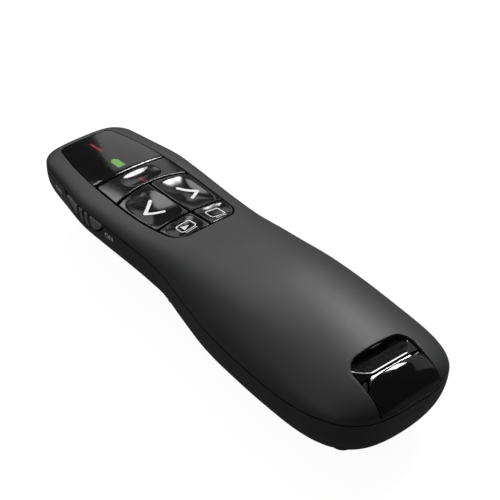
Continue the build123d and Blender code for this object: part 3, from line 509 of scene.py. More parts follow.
linePrint = mouldedPlastic("linePrint", (0.8, 0.8, 0.8), (0.84, 0.84, 0.84), 0.45, wander=0.03)
greyPrint = mouldedPlastic("greyPrint", (0.78, 0.78, 0.78), (0.82, 0.82, 0.82), 0.5, wander=0.03)
greenLit = mouldedPlastic("greenLit", (0.12, 0.3, 0.07), (0.14, 0.33, 0.09), 0.4, wander=0.03)
setInputs(principled(greenLit), {"Emission Color": (0.25, 0.5, 0.16, 1), "Emission Strength": 0.2})
solderMask = mouldedPlastic("solderMask", (0.006, 0.05, 0.02), (0.01, 0.08, 0.035), 0.25)
epoxy = mouldedPlastic("chipEpoxy", (0.015, 0.015, 0.015), (0.03, 0.03, 0.03), 0.6, grain=0.3)
ceramic = mouldedPlastic("capacitorCeramic", (0.3, 0.2, 0.1), (0.4, 0.28, 0.16), 0.4)
milky = mouldedPlastic("milkyGuide", (0.7, 0.7, 0.66), (0.8, 0.8, 0.76), 0.2)
ivory = mouldedPlastic("ivoryMoulding", (0.62, 0.61, 0.56), (0.72, 0.71, 0.67), 0.4)
redMoulding = mouldedPlastic("plungerMoulding", (0.3, 0.03, 0.02), (0.4, 0.05, 0.04), 0.4)
cellSleeve = mouldedPlastic("cellSleeve", (0.02, 0.05, 0.16), (0.03, 0.08, 0.22), 0.22)
steel = metalFinish("platedSteel", (0.5, 0.5, 0.52), (0.68, 0.69, 0.71), 0.28)
screwSteel = metalFinish("zincScrew", (0.2, 0.2, 0.21), (0.34, 0.34, 0.36), 0.35)
springWire = metalFinish("springWire", (0.6, 0.6, 0.61), (0.75, 0.75, 0.76), 0.2)
strip = metalFinish("contactStrip", (0.55, 0.47, 0.3), (0.72, 0.63, 0.42), 0.25)
brass = metalFinish("turnedBrass", (0.5, 0.34, 0.14), (0.68, 0.5, 0.24), 0.25)
blackAnodised = metalFinish("blackAnodised", (0.02, 0.02, 0.022), (0.05, 0.05, 0.055), 0.35)
lensGlass = newMaterial("lensGlass", (0.9, 0.95, 1.0), 0.03)
lensSheen = spread(lensGlass.node_tree, noiseOn(lensGlass.node_tree, 700), 0.02, 0.07)
setInputs(principled(lensGlass), {"Transmission Weight": 0.9, "Roughness": lensSheen})

carried = [
    (milky, "light_guides status_leds"), (innerPlastic, "keypad_frame battery_tray"), (ceramic, "chip_capacitors"),
    (epoxy, "tact_switches radio_chip slide_switch"), (solderMask, "main_board receiver_board"),
    (steel, "crystal battery_cells receiver_plug_shell"), (ivory, "switch_actuator receiver_tongue"),
    (brass, "laser_barrel"), (lensGlass, "laser_lens"), (blackAnodised, "aperture_bezel"),
    (cellSleeve, "battery_sleeves"), (springWire, "battery_springs"), (screwSteel, "case_screws board_screws"),
    (strip, "laser_diode front_contacts bridge_contact receiver_contacts"),
    (redMoulding, "laser_plunger back_plunger next_plunger slideshow_plunger blank_plunger"),
]
for material, names in carried:
    for name in names.split():
        nodes[name].data.materials.clear()
        nodes[name].data.materials.append(material)
print("finishes ready")

# Camera, with its angles in degrees
camera = bpy.data.objects.new("camera", bpy.data.cameras.new("camera"))
bpy.context.scene.collection.objects.link(camera)
view = {"turn": -42.57, "rise": 38.46, "roll": 3.31, "lens": 117.18, "aim": (-4.87, -15.91), "distance": 376.22}
turn, rise, roll = (math.radians(view[key]) for key in ("turn", "rise", "roll"))
facing = (Matrix.Rotation(turn, 3, "Z") @ Matrix.Rotation(math.pi / 2 - rise, 3, "X")
          @ Matrix.Rotation(roll, 3, "Z"))
place = facing @ Vector((-view["aim"][0], -view["aim"][1], view["distance"])) / 1000
camera.matrix_world = Matrix.Translation(place) @ facing.to_4x4()
camera.data.lens = view["lens"]
camera.data.sensor_width = 36
camera.data.clip_start = 0.01
bpy.context.scene.camera = camera

# Case shells: one loft of the body, hollowed and parted
shell = {"skinMesh": (150, 26), "cavityMesh": (60, 12), "seamGap": 0.35, "rim": 0.22, "inside": 10, "outside": 40}
seamSheet = {"halfWide": 40, "halfLong": 62, "under": -30, "over": 50}


def bodySkin(inset, ringCount, quarterPoints):  # rings lie closer together at the nose and the tail
    rings = []
    for i in range(ringCount + 1):
        place = inset + (length - 2 * inset) * (1 - math.cos(math.pi * i / ringCount)) / 2
        station = min(place, length - clicker["tailCap"])
        ring = []
        for upper, mirror, order in ((True, 1, 1), (True, -1, -1), (False, -1, 1), (False, 1, -1)):
            for j in range(quarterPoints):
                t = j / quarterPoints if order > 0 else 1 - j / quarterPoints
                x, z = quarter(station, t, upper, inset)
                ring.append(Vector((mirror * x, yAt(place), z)))
        rings.append(ring)
    return ringStack(rings)


def seamBlock(drop, reach):  # all on one side of the parting surface
    bm = bmesh.new()
    bmesh.ops.create_grid(bm, x_segments=2, y_segments=160, size=1)
    for v in bm.verts:
        v.co = Vector((v.co.x * seamSheet["halfWide"], v.co.y * seamSheet["halfLong"], 0))
        v.co.z = seamAt(min(max(stationAt(v.co.y), 0), length)) - drop
    made = bmesh.ops.extrude_face_region(bm, geom=bm.faces[:])["geom"]
    for v in made:
        if isinstance(v, bmesh.types.BMVert):
            v.co.z = reach
    bmesh.ops.recalc_face_normals(bm, faces=bm.faces)
    return bm


def flaredCut(outline, start, end, height, rim):  # a straight cut whose mouth is rounded over at the skin
    up = 1 if end > start else -1
    rings = [[Vector((p.x, p.y, start)) for p in outline]]
    for i, (grow, depth) in enumerate(((0, 1.0), (0.134, 0.5), (0.5, 0.134), (1.0, -0.05))):
        ring = []
        for p in grown(outline, grow * rim):
            z = height(p.x, p.y) - up * depth * abs(rim)
            ring.append(Vector((p.x, p.y, max(z, start + 0.01 * (i + 1)) if up > 0 else z)))
        rings.append(ring)
    rings.append([Vector((p.x, p.y, end)) for p in grown(outline, rim)])
    return ringStack(rings)


panel = {
    "front": 1.5, "edgeRear": 49.6, "rear": 50.5, "frontCorner": 1.5, "rearCorner": 3.6,
    "edge": [(1.5, 7.3), (10, 9.2), (28, 10.65), (40.5, 10.2), (49.6, 9.0)],
    "windowRear": 20.1, "keyGap": 0.4, "border": 0.3, "laserRear": 27.1, "arc": 36.6, "arrowRear": 42.7,
}
panelEdge = smoothCurve(panel["edge"], flatEnd=False)


def sideLine(side, front, rear, shrink, count=30):  # one long side of the key panel, nose to tail
    stations = [front + (rear - front) * i / count for i in range(count + 1)]
    return [(side * (panelEdge(station) - shrink), yAt(station)) for station in stations]


def panelOutline():
    left, right = (sideLine(side, panel["front"], panel["edgeRear"], 0, 40) for side in (-1, 1))
    bow = []
    for i in range(21):
        u = -1 + i / 10
        bow.append((u * right[-1][0], yAt(panel["edgeRear"] + (panel["rear"] - panel["edgeRear"]) * (1 - u * u))))
    radii = [panel["rearCorner"]] * 2 + [panel["frontCorner"]] * 2
    return roundedOutline([bow, right[::-1], [right[0], left[0]], left], radii, 0.45)


recess = {"half": 8.7, "length": 12.3, "past": 6, "floor": 17.3, "corner": 3.4}
recessOutline = boxOutline(recess["half"], yAt(length - recess["length"]), yAt(length + recess["past"]),
                           recess["corner"], 0.4)

upperShell = newObject("upperShell", bodySkin(0, *shell["skinMesh"]))
cut(upperShell, bodySkin(clicker["wall"], *shell["cavityMesh"]))
cut(upperShell, seamBlock(0, seamSheet["under"]))
cut(upperShell, flaredCut(panelOutline(), shell["inside"], shell["outside"], surfaceHeight, shell["rim"]))
cut(upperShell, flaredCut(recessOutline, recess["floor"], shell["outside"], surfaceHeight, shell["rim"]))
finishPiece(upperShell, softShell, "housing", ["upper_shell"])
print("upper shell made")

# Lower shell: door opening, screw wells, laser hole and the slider's leaf-shaped recess
door = {"front": 56.0, "rear": 103.7, "half": 11.2, "gap": 0.25, "corner": 2.5, "wall": 1.8,
        "inside": 12, "outside": -8, "innerEdge": 0.1, "outerEdge": 0.22}
wells = {"places": [(-10.5, 52.3), (10.5, 52.3), (-11.5, 107.6), (11.5, 107.6)], "well": 2.0, "hole": 1.05,
         "pillar": 2.6, "outside": -6, "bored": 9.5, "skin": 0.6, "seat": 10.5, "top": 12.5}
laserHole = {"station": 1.3, "height": 12.4, "profile": [(0, 2), (2.85, 2), (2.85, 1.34), (2.67, 1.22), (2.6, 1.0),
                                                         (2.6, -1.3), (0, -1.3)]}
slider = {"front": 15.2, "floor": 13.8, "corner": 0.25, "rim": 0.25, "outside": -25, "topDrop": -1.5,
          "recess": [(-1.8, 0.9), (0.6, 3.0), (3.6, 4.0), (8.6, 4.5), (12.4, 3.8), (14.9, 1.4)],
          "backWall": 1.4, "backReach": -20, "backStations": (31, 11), "backHeights": (8, 18)}


def leafOutline(knots, topDrop, spacing=0.25):  # seen from the left side, as (y, z)
    lowest = smoothCurve(knots, flatEnd=False)
    first, last = knots[0][0], knots[-1][0]
    stations = [slider["front"] + first + (last - first) * i / 60 for i in range(61)]
    low = [(yAt(s), seamAt(s) - lowest(s - slider["front"])) for s in stations]
    high = [(yAt(s), seamAt(s) - topDrop) for s in stations]
    return roundedOutline([low[::-1], [low[0], high[0]], high, [high[-1], low[-1]]],
                          [slider["corner"]] * 4, spacing)


def sideCut(outline, depthX, endX, rim):  # a cut from the left, rounded over at its mouth
    rings = [[Vector((depthX, p.x, p.y)) for p in outline]]
    for grow, depth in ((0, 1.0), (0.1, 0.35), (0.45, 0.06), (1.0, -0.05)):
        row = grown(outline, grow * rim)
        rings.append([Vector((-sideReach(stationAt(p.x), p.y) + depth * rim, p.x, p.y)) for p in row])
    rings.append([Vector((endX, p.x, p.y)) for p in grown(outline, rim)])
    return ringStack(rings)


def bellyHeight(x, y):
    return surfaceHeight(x, y, upper=False)


lowerShell = newObject("lowerShell", bodySkin(0, *shell["skinMesh"]))
hollow = newObject("hollow", bodySkin(clicker["wall"], *shell["cavityMesh"]))
cut(hollow, block((slider["backReach"], -slider["floor"] + slider["backWall"]), slider["backStations"],
                  slider["backHeights"]))
change(lowerShell, hollow)
cut(lowerShell, seamBlock(shell["seamGap"], seamSheet["over"]))
cut(lowerShell, box((-30, 30), (-70, 70), (-5, 0)))  # leaves the flat that it lies on
doorOutline = boxOutline(door["half"], yAt(door["front"]), yAt(door["rear"]), door["corner"], 0.5)
cut(lowerShell, flaredCut(doorOutline, door["inside"], door["outside"], bellyHeight, shell["rim"]))
cut(lowerShell, turned(laserHole["profile"], (0, yAt(laserHole["station"]), laserHole["height"]), 48, "Y"))
cut(lowerShell, sideCut(leafOutline(slider["recess"], slider["topDrop"]), -slider["floor"], slider["outside"],
                        slider["rim"]))
well, hole, pillar, seat, top = (wells[key] for key in ("well", "hole", "pillar", "seat", "top"))
outside, bored = wells["outside"], wells["bored"]
pillars = []
for x, station in wells["places"]:
    centre = (x, yAt(station), 0)
    cut(lowerShell, turned([(0, outside), (well, outside), (well, bored), (0, bored)], centre, 40))
    rim = [bellyHeight(x + dx, yAt(station) + dy) for dx, dy in ((well, 0), (-well, 0), (0, well), (0, -well))]
    start = max(rim) + wells["skin"]
    pillars.append(turned([(well, start), (well, seat), (hole, seat), (hole, top), (pillar, top), (pillar, start),
                           (well, start)], centre, 40))
shellMesh = bmesh.new()
shellMesh.from_mesh(lowerShell.data)
shellMesh = joined(shellMesh, *pillars)
shellMesh.to_mesh(lowerShell.data)
shellMesh.free()
finishPiece(lowerShell, softShell, "housing", ["lower_shell"])
print("lower shell made")

# Battery door
hook = {"half": 1.5, "reach": 1.5, "low": 4.0, "high": 5.2, "neck": 57.6, "neckLow": 2.9}
ribs = {"half": 9.2, "wide": 1.2, "heights": (0.9, 4.1), "stations": (69.7, 92.0), "softened": 0.12}
grips = {"stations": (98.7, 96.3, 93.9), "radius": 0.6, "long": 12, "height": -0.25}
doorPanel = boxOutline(door["half"] - door["gap"], yAt(door["front"] + door["gap"]), yAt(door["rear"] - door["gap"]),
                       door["corner"])
doorMesh = plate(doorPanel, door["wall"], lambda x, y: bellyHeight(x, y) + door["wall"], 0.9, door["innerEdge"],
                 lambda x, y: max(bellyHeight(x, y), 0.0), door["outerEdge"])
batteryDoor = newObject("batteryDoor", doorMesh)
for station in grips["stations"]:
    grip = rod(grips["radius"], grips["long"], 40)
    bmesh.ops.rotate(grip, cent=(0, 0, 0), matrix=Matrix.Rotation(math.pi / 2, 3, "Y"), verts=grip.verts)
    bmesh.ops.translate(grip, vec=(0, yAt(station), grips["height"]), verts=grip.verts)
    cut(batteryDoor, grip)
bars = [block(ribs["half"], (station + ribs["wide"], station), ribs["heights"]) for station in ribs["stations"]]
for front, low in ((door["front"] - hook["reach"], hook["low"]), (door["front"] + door["gap"], hook["neckLow"])):
    bars.append(block(hook["half"], (hook["neck"], front), (low, hook["high"])))
for bar in bars:
    bmesh.ops.bevel(bar, geom=bar.edges[:], offset=ribs["softened"], offset_type="OFFSET", affect="EDGES",
                    segments=2, profile=0.5, material=-1)
    cut(batteryDoor, bar, "UNION")
finishPiece(batteryDoor, softShell, "door", ["battery_door"])
print("battery door made")

# Window and keys: flat plates with rounded rims, bent to the body's skin and dished
def arcStation(radius, x):
    return panel["laserRear"] + panel["arc"] - math.sqrt(radius * radius - x * x)


def acrossLine(stationOf, x0, x1, count=24):
    places = [x0 + (x1 - x0) * i / count for i in range(count + 1)]
    return [(x, yAt(stationOf(x))) for x in places]


def fourSided(left, right, radii, front=None, rear=None):  # long sides run nose to tail, the ends left to right
    front = front or [left[0], right[0]]
    rear = rear or [left[-1], right[-1]]
    return roundedOutline([rear, right[::-1], front[::-1], left], radii, 0.4)


border, gap = panel["border"], panel["keyGap"]
window = {"shrink": 0.1, "thickness": 1.8, "edge": 0.15, "roll": 0.9, "rollDrop": 0.45, "corner": 0.3,
          "frontCorner": 1.4}
windowSides = [sideLine(side, panel["front"] + window["shrink"], panel["windowRear"], window["shrink"])
               for side in (-1, 1)]
windowOutline = fourSided(*windowSides, [window["corner"]] * 2 + [window["frontCorner"]] * 2)

laserHalf = panelEdge(28) - border
laserSides = [sideLine(side, panel["windowRear"] + gap, arcStation(panel["arc"], laserHalf), border)
              for side in (-1, 1)]
laserRear = acrossLine(lambda x: arcStation(panel["arc"], x), laserSides[0][-1][0], laserSides[1][-1][0], 40)
laserOutline = fourSided(*laserSides, [0.45] * 4, rear=laserRear)

arrowArc = panel["arc"] - gap
lowFront = panel["arrowRear"] + gap
lowRear = panel["edgeRear"] - border
bowDepth = panel["rear"] - panel["edgeRear"]
innerCorner = 0.5


def arrowOutline(side):
    outer = sideLine(side, arcStation(arrowArc, laserHalf), panel["arrowRear"], border)
    inner = plan([(side * gap / 2, arcStation(arrowArc, gap / 2)), (side * gap / 2, panel["arrowRear"])])
    left, right = (outer, inner) if side < 0 else (inner, outer)
    front = acrossLine(lambda x: arcStation(arrowArc, x), left[0][0], right[0][0])
    return fourSided(left, right, [innerCorner] * 4, front=front)


def lowOutline(side):
    outer = sideLine(side, lowFront, lowRear, border)
    rearHalf = abs(outer[-1][0])

    def rearAt(x):
        return lowRear + bowDepth * (1 - (x / rearHalf) ** 2)

    inner = plan([(side * gap / 2, lowFront), (side * gap / 2, rearAt(gap / 2))])
    left, right = (outer, inner) if side < 0 else (inner, outer)
    rear = acrossLine(rearAt, left[-1][0], right[-1][0])
    rearCorners = [panel["rearCorner"] - border, innerCorner][::-side]
    return fourSided(left, right, rearCorners + [innerCorner] * 2, rear=rear)


def dished(centre, half, depth, power=4.0):  # skin height less a superelliptic finger dish
    def height(x, y):
        across = (abs(x - centre[0]) / half[0]) ** power + (abs(stationAt(y) - centre[1]) / half[1]) ** power
        share = across ** (1 / power)
        return surfaceHeight(x, y) - (depth * (1 - share ** 2) if share < 1 else 0.0)
    return height


def windowHeight(x, y):  # the window's rear edge rolls over into the gap
    past = (stationAt(y) - (panel["windowRear"] - window["roll"])) / window["roll"]
    return surfaceHeight(x, y) - window["rollDrop"] * roundedOver(past)


keyLooks = {
    "laser": {"outline": laserOutline, "dish": ((0.4, 23.8), (5.3, 2.6), 0.6, 3.0), "stem": (-3.4, 24.3)},
    "back": {"outline": arrowOutline(-1), "dish": ((-5.1, 35.7), (4.7, 6.3), 0.8), "stem": (-5.0, 36.1)},
    "next": {"outline": arrowOutline(1), "dish": ((4.9, 35.6), (4.3, 6.8), 1.0), "stem": (5.0, 36.1)},
    "slideshow": {"outline": lowOutline(-1), "dish": ((-4.9, 46.5), (3.9, 3.0), 0.65), "stem": (-4.3, 46.4)},
    "blank": {"outline": lowOutline(1), "dish": ((4.9, 46.5), (4.1, 3.1), 0.75), "stem": (4.3, 46.4)},
}
keyHeights = {name: dished(*look["dish"]) for name, look in keyLooks.items()}
keyBuild = {"thickness": 1.3, "thinnest": 0.4, "edge": 0.28, "spacing": 0.4, "stemRadius": 1.4, "stemSunk": 0.2,
            "plungerTop": 18.5}


def keyUnderside(top):  # follows the skin, so a deep dish thins the key and its travel stays free
    return lambda x, y: min(surfaceHeight(x, y) - keyBuild["thickness"], top(x, y) - keyBuild["thinnest"])


windowPiece = newObject("displayWindow", plate(windowOutline, window["thickness"], windowHeight, 0.5, window["edge"]))
finishPiece(windowPiece, windowGloss, "housing", ["display_window"], sharp=50)
for name, look in keyLooks.items():
    stemX, stemY = plan([look["stem"]])[0]
    underside = keyUnderside(keyHeights[name])
    skin = plate(look["outline"], keyBuild["thickness"], keyHeights[name], keyBuild["spacing"], keyBuild["edge"],
                 underside)
    stemTop, stemFoot = underside(stemX, stemY) + keyBuild["stemSunk"], keyBuild["plungerTop"]
    stem = rod(keyBuild["stemRadius"], stemTop - stemFoot, 28)
    bmesh.ops.translate(stem, vec=(stemX, stemY, (stemTop + stemFoot) / 2), verts=stem.verts)
    key = newObject(name + "Key", joined(skin, stem))
    finishPiece(key, laserGloss if name == "laser" else gloss, name + "_key", [name + "_button"], sharp=50)
print("window and keys made")

# Printed marks lie on the keys, just proud of the skin
def arcPoints(centre, radius, start, sweep, steps=6):
    angles = [start + sweep * i / steps for i in range(steps + 1)]
    return [centre + radius * Vector((math.cos(angle), math.sin(angle))) for angle in angles]


def strokeOutline(points, width):  # a line thickened on both sides, with round ends and outer bends
    points = [Vector(p) for p in points]
    ways = [(b - a).normalized() for a, b in zip(points, points[1:])]
    half = width / 2
    firstTurn = math.atan2(ways[0].y, ways[0].x)
    lastTurn = math.atan2(ways[-1].y, ways[-1].x)
    right, left = [], []
    for p, before, after in zip(points[1:-1], ways, ways[1:]):
        bend = -before.angle_signed(after)
        mitre = (before + after).normalized()
        inner = Vector((-mitre.y, mitre.x)) * (half / mitre.dot(before))
        turn = math.atan2(before.y, before.x)
        if bend > 0:
            right += arcPoints(p, half, turn - math.pi / 2, bend)
            left.append(p + inner)
        else:
            right.append(p - inner)
            left += arcPoints(p, half, turn + math.pi / 2, bend)
    start = arcPoints(points[0], half, firstTurn + math.pi / 2, math.pi)
    end = arcPoints(points[-1], half, lastTurn - math.pi / 2, math.pi)
    return start + right + end + left[::-1]


def markMesh(outline, hole=None):
    bm = bmesh.new()
    outer = [bm.verts.new((p[0], p[1], 0)) for p in outline]
    if hole is None:
        bm.faces.new(outer)
    else:
        inner = [bm.verts.new((p[0], p[1], 0)) for p in hole]
        edges = [bm.edges.new((ring[i - 1], ring[i])) for ring in (outer, inner) for i in range(len(ring))]
        bmesh.ops.bridge_loops(bm, edges=edges)
    bmesh.ops.connect_verts_concave(bm, faces=bm.faces)
    for axis in (0, 1):
        slices(bm, axis, 0.4)
    return bm


marks = {"arrowStroke": 0.85, "lineStroke": 0.3, "lift": 0.015, "lineLift": 0.035, "ink": 0.02}


def printMark(name, meshes, height, material, bodyName, lift=marks["lift"]):
    bm = joined(*meshes)
    for v in bm.verts:
        v.co.z = height(v.co.x, v.co.y) + lift
    turnFaces(bm, Vector((0, 0, 1)))
    piece = newObject(name, bm)
    layer = piece.modifiers.new("ink", "SOLIDIFY")
    layer.thickness = marks["ink"] / 1000
    layer.offset = 1
    finishPiece(piece, material, bodyName, (), weighted=False)


def strokeMesh(points, width):
    return markMesh(strokeOutline(plan(points), width))


def roundedBox(x0, x1, front, rear, radius, shrink=0.0):
    x0, x1, front, rear = x0 + shrink, x1 - shrink, front + shrink, rear - shrink
    return cornered(plan([(x0, rear), (x1, rear), (x1, front), (x0, front)]), [radius - shrink * 0.6] * 4)


def frameMesh(*size):  # a rounded box drawn as a line
    return markMesh(roundedBox(*size), roundedBox(*size, marks["lineStroke"]))


leftArrow = strokeMesh([(-3.75, 32.7), (-7.6, 35.75), (-3.85, 37.9)], marks["arrowStroke"])
rightArrow = strokeMesh([(4.6, 32.4), (7.6, 36.0), (5.0, 37.3)], marks["arrowStroke"])
printMark("backArrow", [leftArrow], keyHeights["back"], whitePrint, "back_key")
printMark("nextArrow", [rightArrow], keyHeights["next"], whitePrint, "next_key")
slideFrame = frameMesh(-6.35, -2.2, 44.9, 48.0, 0.7)
slidePlay = markMesh(plan([(-5.25, 47.3), (-3.4, 46.45), (-5.25, 45.6)]))
slideBar = strokeMesh([(-5.8, 48.6), (-2.8, 48.6)], marks["lineStroke"])
printMark("slideshowMark", [slideFrame, slidePlay, slideBar], keyHeights["slideshow"], linePrint,
          "slideshow_key", marks["lineLift"])
blankFrame = frameMesh(2.2, 6.4, 44.8, 48.0, 0.7)
blankBar = strokeMesh([(2.8, 48.6), (5.8, 48.6)], marks["lineStroke"])
printMark("blankMark", [blankFrame, blankBar], keyHeights["blank"], linePrint, "blank_key",
          marks["lineLift"])
gauge = [markMesh(roundedBox(-1.75, 0.35, 14.65, 17.9, 0.25)), markMesh(roundedBox(-1.25, -0.15, 14.05, 14.7, 0.12))]
printMark("batteryMark", gauge, windowHeight, greenLit, "housing")

# Switch lettering on the left flank
letters = {"lift": 0.02, "bold": 0.045, "words": {
    "onMark": {"text": "ON", "size": 1.95, "station": 30.5, "height": 14.5},
    "offMark": {"text": "OFF", "size": 1.8, "station": 8.3, "height": 14.2}}}
for name, word in letters["words"].items():
    font = bpy.data.curves.new(name, "FONT")
    font.body, font.size, font.offset = word["text"], word["size"], letters["bold"]
    fontObject = bpy.data.objects.new(name + "Text", font)
    bpy.context.scene.collection.objects.link(fontObject)
    bpy.context.view_layer.update()
    flat = bpy.data.meshes.new_from_object(fontObject.evaluated_get(bpy.context.evaluated_depsgraph_get()))
    bpy.data.objects.remove(fontObject)
    lettering = bmesh.new()
    lettering.from_mesh(flat)
    for axis in (0, 1):
        slices(lettering, axis, 0.35)
    for v in lettering.verts:
        station, z = word["station"] + v.co.x, word["height"] + v.co.y
        v.co = Vector((-sideReach(station, z) - letters["lift"], yAt(station), z))
    turnFaces(lettering, Vector((-1, 0, 0)))
    finishPiece(newObject(name, lettering), greyPrint, "housing", (), weighted=False)
print("marks printed")

# Power slider
knob = {"proud": 0.25, "runningGap": 0.15, "topDrop": 0.5, "edge": 0.22,
        "lowest": [(0, 1.1), (4.8, 3.4), (9.3, 4.0), (12.6, 2.95), (14.4, 1.15)],
        "grooves": [20.7, 22.8, 24.9], "grooveHalf": 0.475, "grooveDepth": 0.9, "grooveMiddle": 16, "grooveLean": -8,
        "pocketDepth": 0.92, "pocketStations": (24.32, 22.68), "pocketHeights": (13.38, 15.02)}
knobFloor = slider["floor"] + knob["runningGap"]


def knobReach(y, z):
    return sideReach(stationAt(y), z) + knob["proud"]


knobOutline = leafOutline(knob["lowest"], knob["topDrop"], 0.3)
knobMesh = plate(knobOutline, 1.0, knobReach, 0.5, knob["edge"], lambda y, z: knobFloor)
for v in knobMesh.verts:
    v.co = Vector((-v.co.z, v.co.x, v.co.y))
bmesh.ops.recalc_face_normals(knobMesh, faces=knobMesh.faces)
knobPiece = newObject("powerSlider", knobMesh)
lean = Matrix.Rotation(math.radians(knob["grooveLean"]), 3, "X")
for station in knob["grooves"]:
    reach = -halfWidthAt(station) + knob["grooveDepth"]
    groove = box((-30, reach), (-knob["grooveHalf"], knob["grooveHalf"]), (-8, 8))
    bmesh.ops.rotate(groove, cent=(0, 0, 0), matrix=lean, verts=groove.verts)
    bmesh.ops.translate(groove, vec=(0, yAt(station), knob["grooveMiddle"]), verts=groove.verts)
    cut(knobPiece, groove)
cut(knobPiece, block((-knobFloor - knob["pocketDepth"], -10), knob["pocketStations"], knob["pocketHeights"]))
finishPiece(knobPiece, satin, "power_slide", ["power_slider"])
print("power slider made")

# Receiver dock with its scoop, and the receiver's cap
dock = {"side": 8.6, "front": 103.3, "rear": 108.0, "earRear": 110.3, "ear": 2.3, "earDrop": 0.05,
        "radii": [0.15, 0.2, 0.2, 0.15, 3.3, 3.3], "thickness": 1.2, "bottom": 16.1, "underside": 16.4,
        "floor": 22.5, "skinDrop": 0.6, "rim": 0.02, "wall": 0.2, "wallRise": 2.8, "sideBlend": 0.9, "sideRise": 1.6,
        "roll": 0.3, "plateRear": 113.4, "plateTop": 17.3, "plateLap": 1, "sleeveFront": 90.6, "sleeveHalf": 7.25,
        "sleeveTop": 22.7, "sleeveLap": 0.9, "boreHalf": 6.15, "boreFront": 91.6, "boreTop": 22.1}
side, ear, rim = dock["side"], dock["ear"], dock["rim"]
earHeight = surfaceHeight(side, yAt(dock["earRear"])) - dock["earDrop"]


def dockHeight(x, y):
    station = stationAt(y)
    skin = surfaceHeight(x, y)
    if station > dock["rear"] + rim:
        return min(skin - dock["earDrop"], earHeight)
    fall = max(0.0, 1 - (station - (dock["front"] + rim)) / dock["wall"])
    sideways = max(0.0, abs(x) - (side - rim - dock["sideBlend"])) / dock["sideBlend"]
    roll = dock["roll"] * roundedOver((station - dock["rear"]) / dock["roll"] + 1)
    bowl = dock["floor"] + dock["wallRise"] * fall + dock["sideRise"] * sideways ** 3 - roll
    return min(skin - dock["earDrop" if station > dock["rear"] else "skinDrop"], bowl)


earRear, rear, front = dock["earRear"], dock["rear"], dock["front"]
dockCorners = [(-side, earRear), (ear - side, rear), (side - ear, rear), (side, earRear), (side, front),
               (-side, front)]
dockOutline = cornered(plan(dockCorners), dock["radii"], 0.4)
dockMesh = plate(dockOutline, dock["thickness"], dockHeight, 0.22, 0, lambda x, y: dock["underside"],
                 creases=[yAt(front + rim), yAt(front + rim + dock["wall"])])
dockPiece = newObject("receiverDock", dockMesh)
plateSpan = (dock["plateRear"], front + dock["plateLap"])
sleeveSpan = (front + dock["sleeveLap"], dock["sleeveFront"])
cut(dockPiece, block(side + 0.5, plateSpan, (dock["bottom"], dock["plateTop"])), "UNION")
cut(dockPiece, block(dock["sleeveHalf"], sleeveSpan, (dock["bottom"], dock["sleeveTop"])), "UNION")
cut(dockPiece, box((-dock["boreHalf"], dock["boreHalf"]), (-70, yAt(dock["boreFront"])),
                   (dock["plateTop"] - 0.02, dock["boreTop"])))
finishPiece(dockPiece, deepGloss, "housing", ["receiver_dock"], sharp=30)

cap = {"half": 8.5, "front": 108.8, "past": 3, "corner": 2.0, "radii": [1.2, 1.2, 0.9, 0.9, 0.9, 0.9],
       "mesh": (220, 40), "floor": 17.4, "edge": 0.12, "roll": 1.8, "rollDrop": 0.35,
       "rollBlend": 0.8, "rollStart": 1.4,
       "pocketHalf": 5.4, "pocketStations": (112.9, 100), "pocketHeights": (18.75, 19.55)}
half, rear, shoulder = cap["half"], length + cap["past"], cap["front"] + cap["corner"]
narrow = half - cap["corner"]
capOutline = cornered(plan([(-half, rear), (half, rear), (half, shoulder), (narrow, cap["front"]),
                            (-narrow, cap["front"]), (-half, shoulder)]), cap["radii"], 0.35)
capPiece = newObject("receiverCap", bodySkin(0, *cap["mesh"]))
cut(capPiece, flaredCut(capOutline, cap["floor"], shell["outside"], surfaceHeight, -cap["edge"]), "INTERSECT")
cut(capPiece, block(cap["pocketHalf"], cap["pocketStations"], cap["pocketHeights"]))
for v in capPiece.data.vertices:  # the front of its top rolls over towards the dock
    rolled = max(0.0, 1 - (stationAt(v.co.y) - cap["front"]) / cap["roll"])
    near = clamped((v.co.z - surfaceHeight(v.co.x, v.co.y)) / cap["rollBlend"] + cap["rollStart"])
    v.co.z -= cap["rollDrop"] * rolled ** 2 * near
finishPiece(capPiece, deepGloss, "receiver", ["receiver_cap"], sharp=65)
print("dock and receiver made")

# Floor, light and background
floorLook = {"half": 4000, "height": -0.15,
             "levels": {"Is Camera Ray": 0.96, "Is Glossy Ray": 0.06, "Is Transmission Ray": 0.6}}  # 1 is white
floorMesh = bmesh.new()
bmesh.ops.create_grid(floorMesh, x_segments=8, y_segments=8, size=floorLook["half"])
bmesh.ops.translate(floorMesh, vec=(0, 0, floorLook["height"]), verts=floorMesh.verts)
floor = newObject("floor", floorMesh)
floor.data.transform(millimetre)
floorFinish = newMaterial("paleFloor", (0.12, 0.12, 0.12), 0.9, specular=0.1)
floorTree, floorShader = floorFinish.node_tree, principled(floorFinish)
rays = addNode(floorTree, "LightPath")
glow = 0
for output, level in floorLook["levels"].items():
    glow = mathNode(floorTree, "MULTIPLY_ADD", rays.outputs[output], level, glow)
setInputs(floorShader, {"Emission Color": (1, 1, 1, 1), "Emission Strength": glow})
below = addNode(floorTree, "NewGeometry").outputs["Backfacing"]
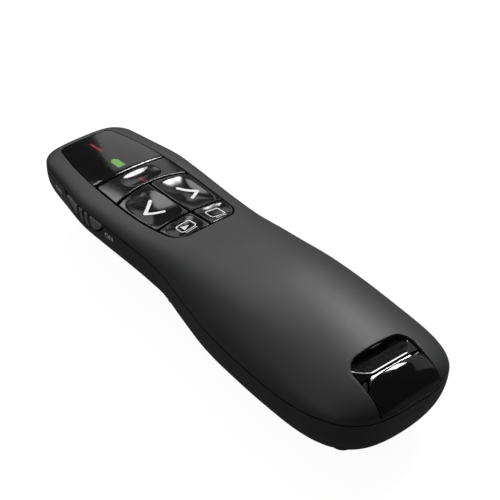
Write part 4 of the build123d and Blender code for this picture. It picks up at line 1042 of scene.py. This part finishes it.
clear = addNode(floorTree, "BsdfTransparent").outputs[0]
eitherSide = addNode(floorTree, "MixShader", {0: below, 1: floorShader.outputs[0], 2: clear})  # clear from below
setInputs(floorTree.nodes["Material Output"], {"Surface": eitherSide.outputs[0]})
floor.data.materials.append(floorFinish)

# Softboxes fill a range of turn (from +X towards +Y) and rise, in degrees, as seen from the clicker
softboxes = {
    "stripSoftbox": {"turn": (47, 59), "rise": (13, 33), "level": 0.95},
    "topSoftbox": {"turn": (5, 38), "rise": (46, 59), "level": 26.0},
    "sideSoftbox": {"turn": (140, 200), "rise": (15, 50), "level": 0.8},
    "leftSoftbox": {"turn": (60, 112), "rise": (42, 62), "level": 4.3},
    "rightSoftbox": {"turn": (-20, 44), "rise": (10, 44), "level": 0.45},
}
for name, look in softboxes.items():
    turnMiddle, riseMiddle = (math.radians(sum(look[key]) / 2) for key in ("turn", "rise"))
    turnSpan, riseSpan = (math.radians(look[key][1] - look[key][0]) for key in ("turn", "rise"))
    level = math.cos(riseMiddle)
    aim = Vector((math.cos(turnMiddle) * level, math.sin(turnMiddle) * level, math.sin(riseMiddle)))
    wide, high = 2 * math.tan(turnSpan * level / 2), 2 * math.tan(riseSpan / 2)
    lamp = bpy.data.objects.new(name, bpy.data.lights.new(name, "AREA"))
    lamp.data.shape = "RECTANGLE"
    lamp.data.size, lamp.data.size_y = wide, high
    lamp.data.energy = look["level"] * math.pi * wide * high
    lamp.location = aim
    lamp.rotation_euler = aim.to_track_quat("Z", "Y").to_euler()
    bpy.context.scene.collection.objects.link(lamp)
world = bpy.data.worlds.new("studio")
bpy.context.scene.world = world
world.use_nodes = True
fill = 0.08  # what lights the clicker, while the camera sees white
cameraRay = addNode(world.node_tree, "LightPath").outputs["Is Camera Ray"]
skyLevel = mathNode(world.node_tree, "MULTIPLY_ADD", cameraRay, 1 - fill, fill)
setInputs(world.node_tree.nodes["Background"], {"Color": (1, 1, 1, 1), "Strength": skyLevel})
bpy.context.scene.view_settings.view_transform = "Standard"
print("studio set")
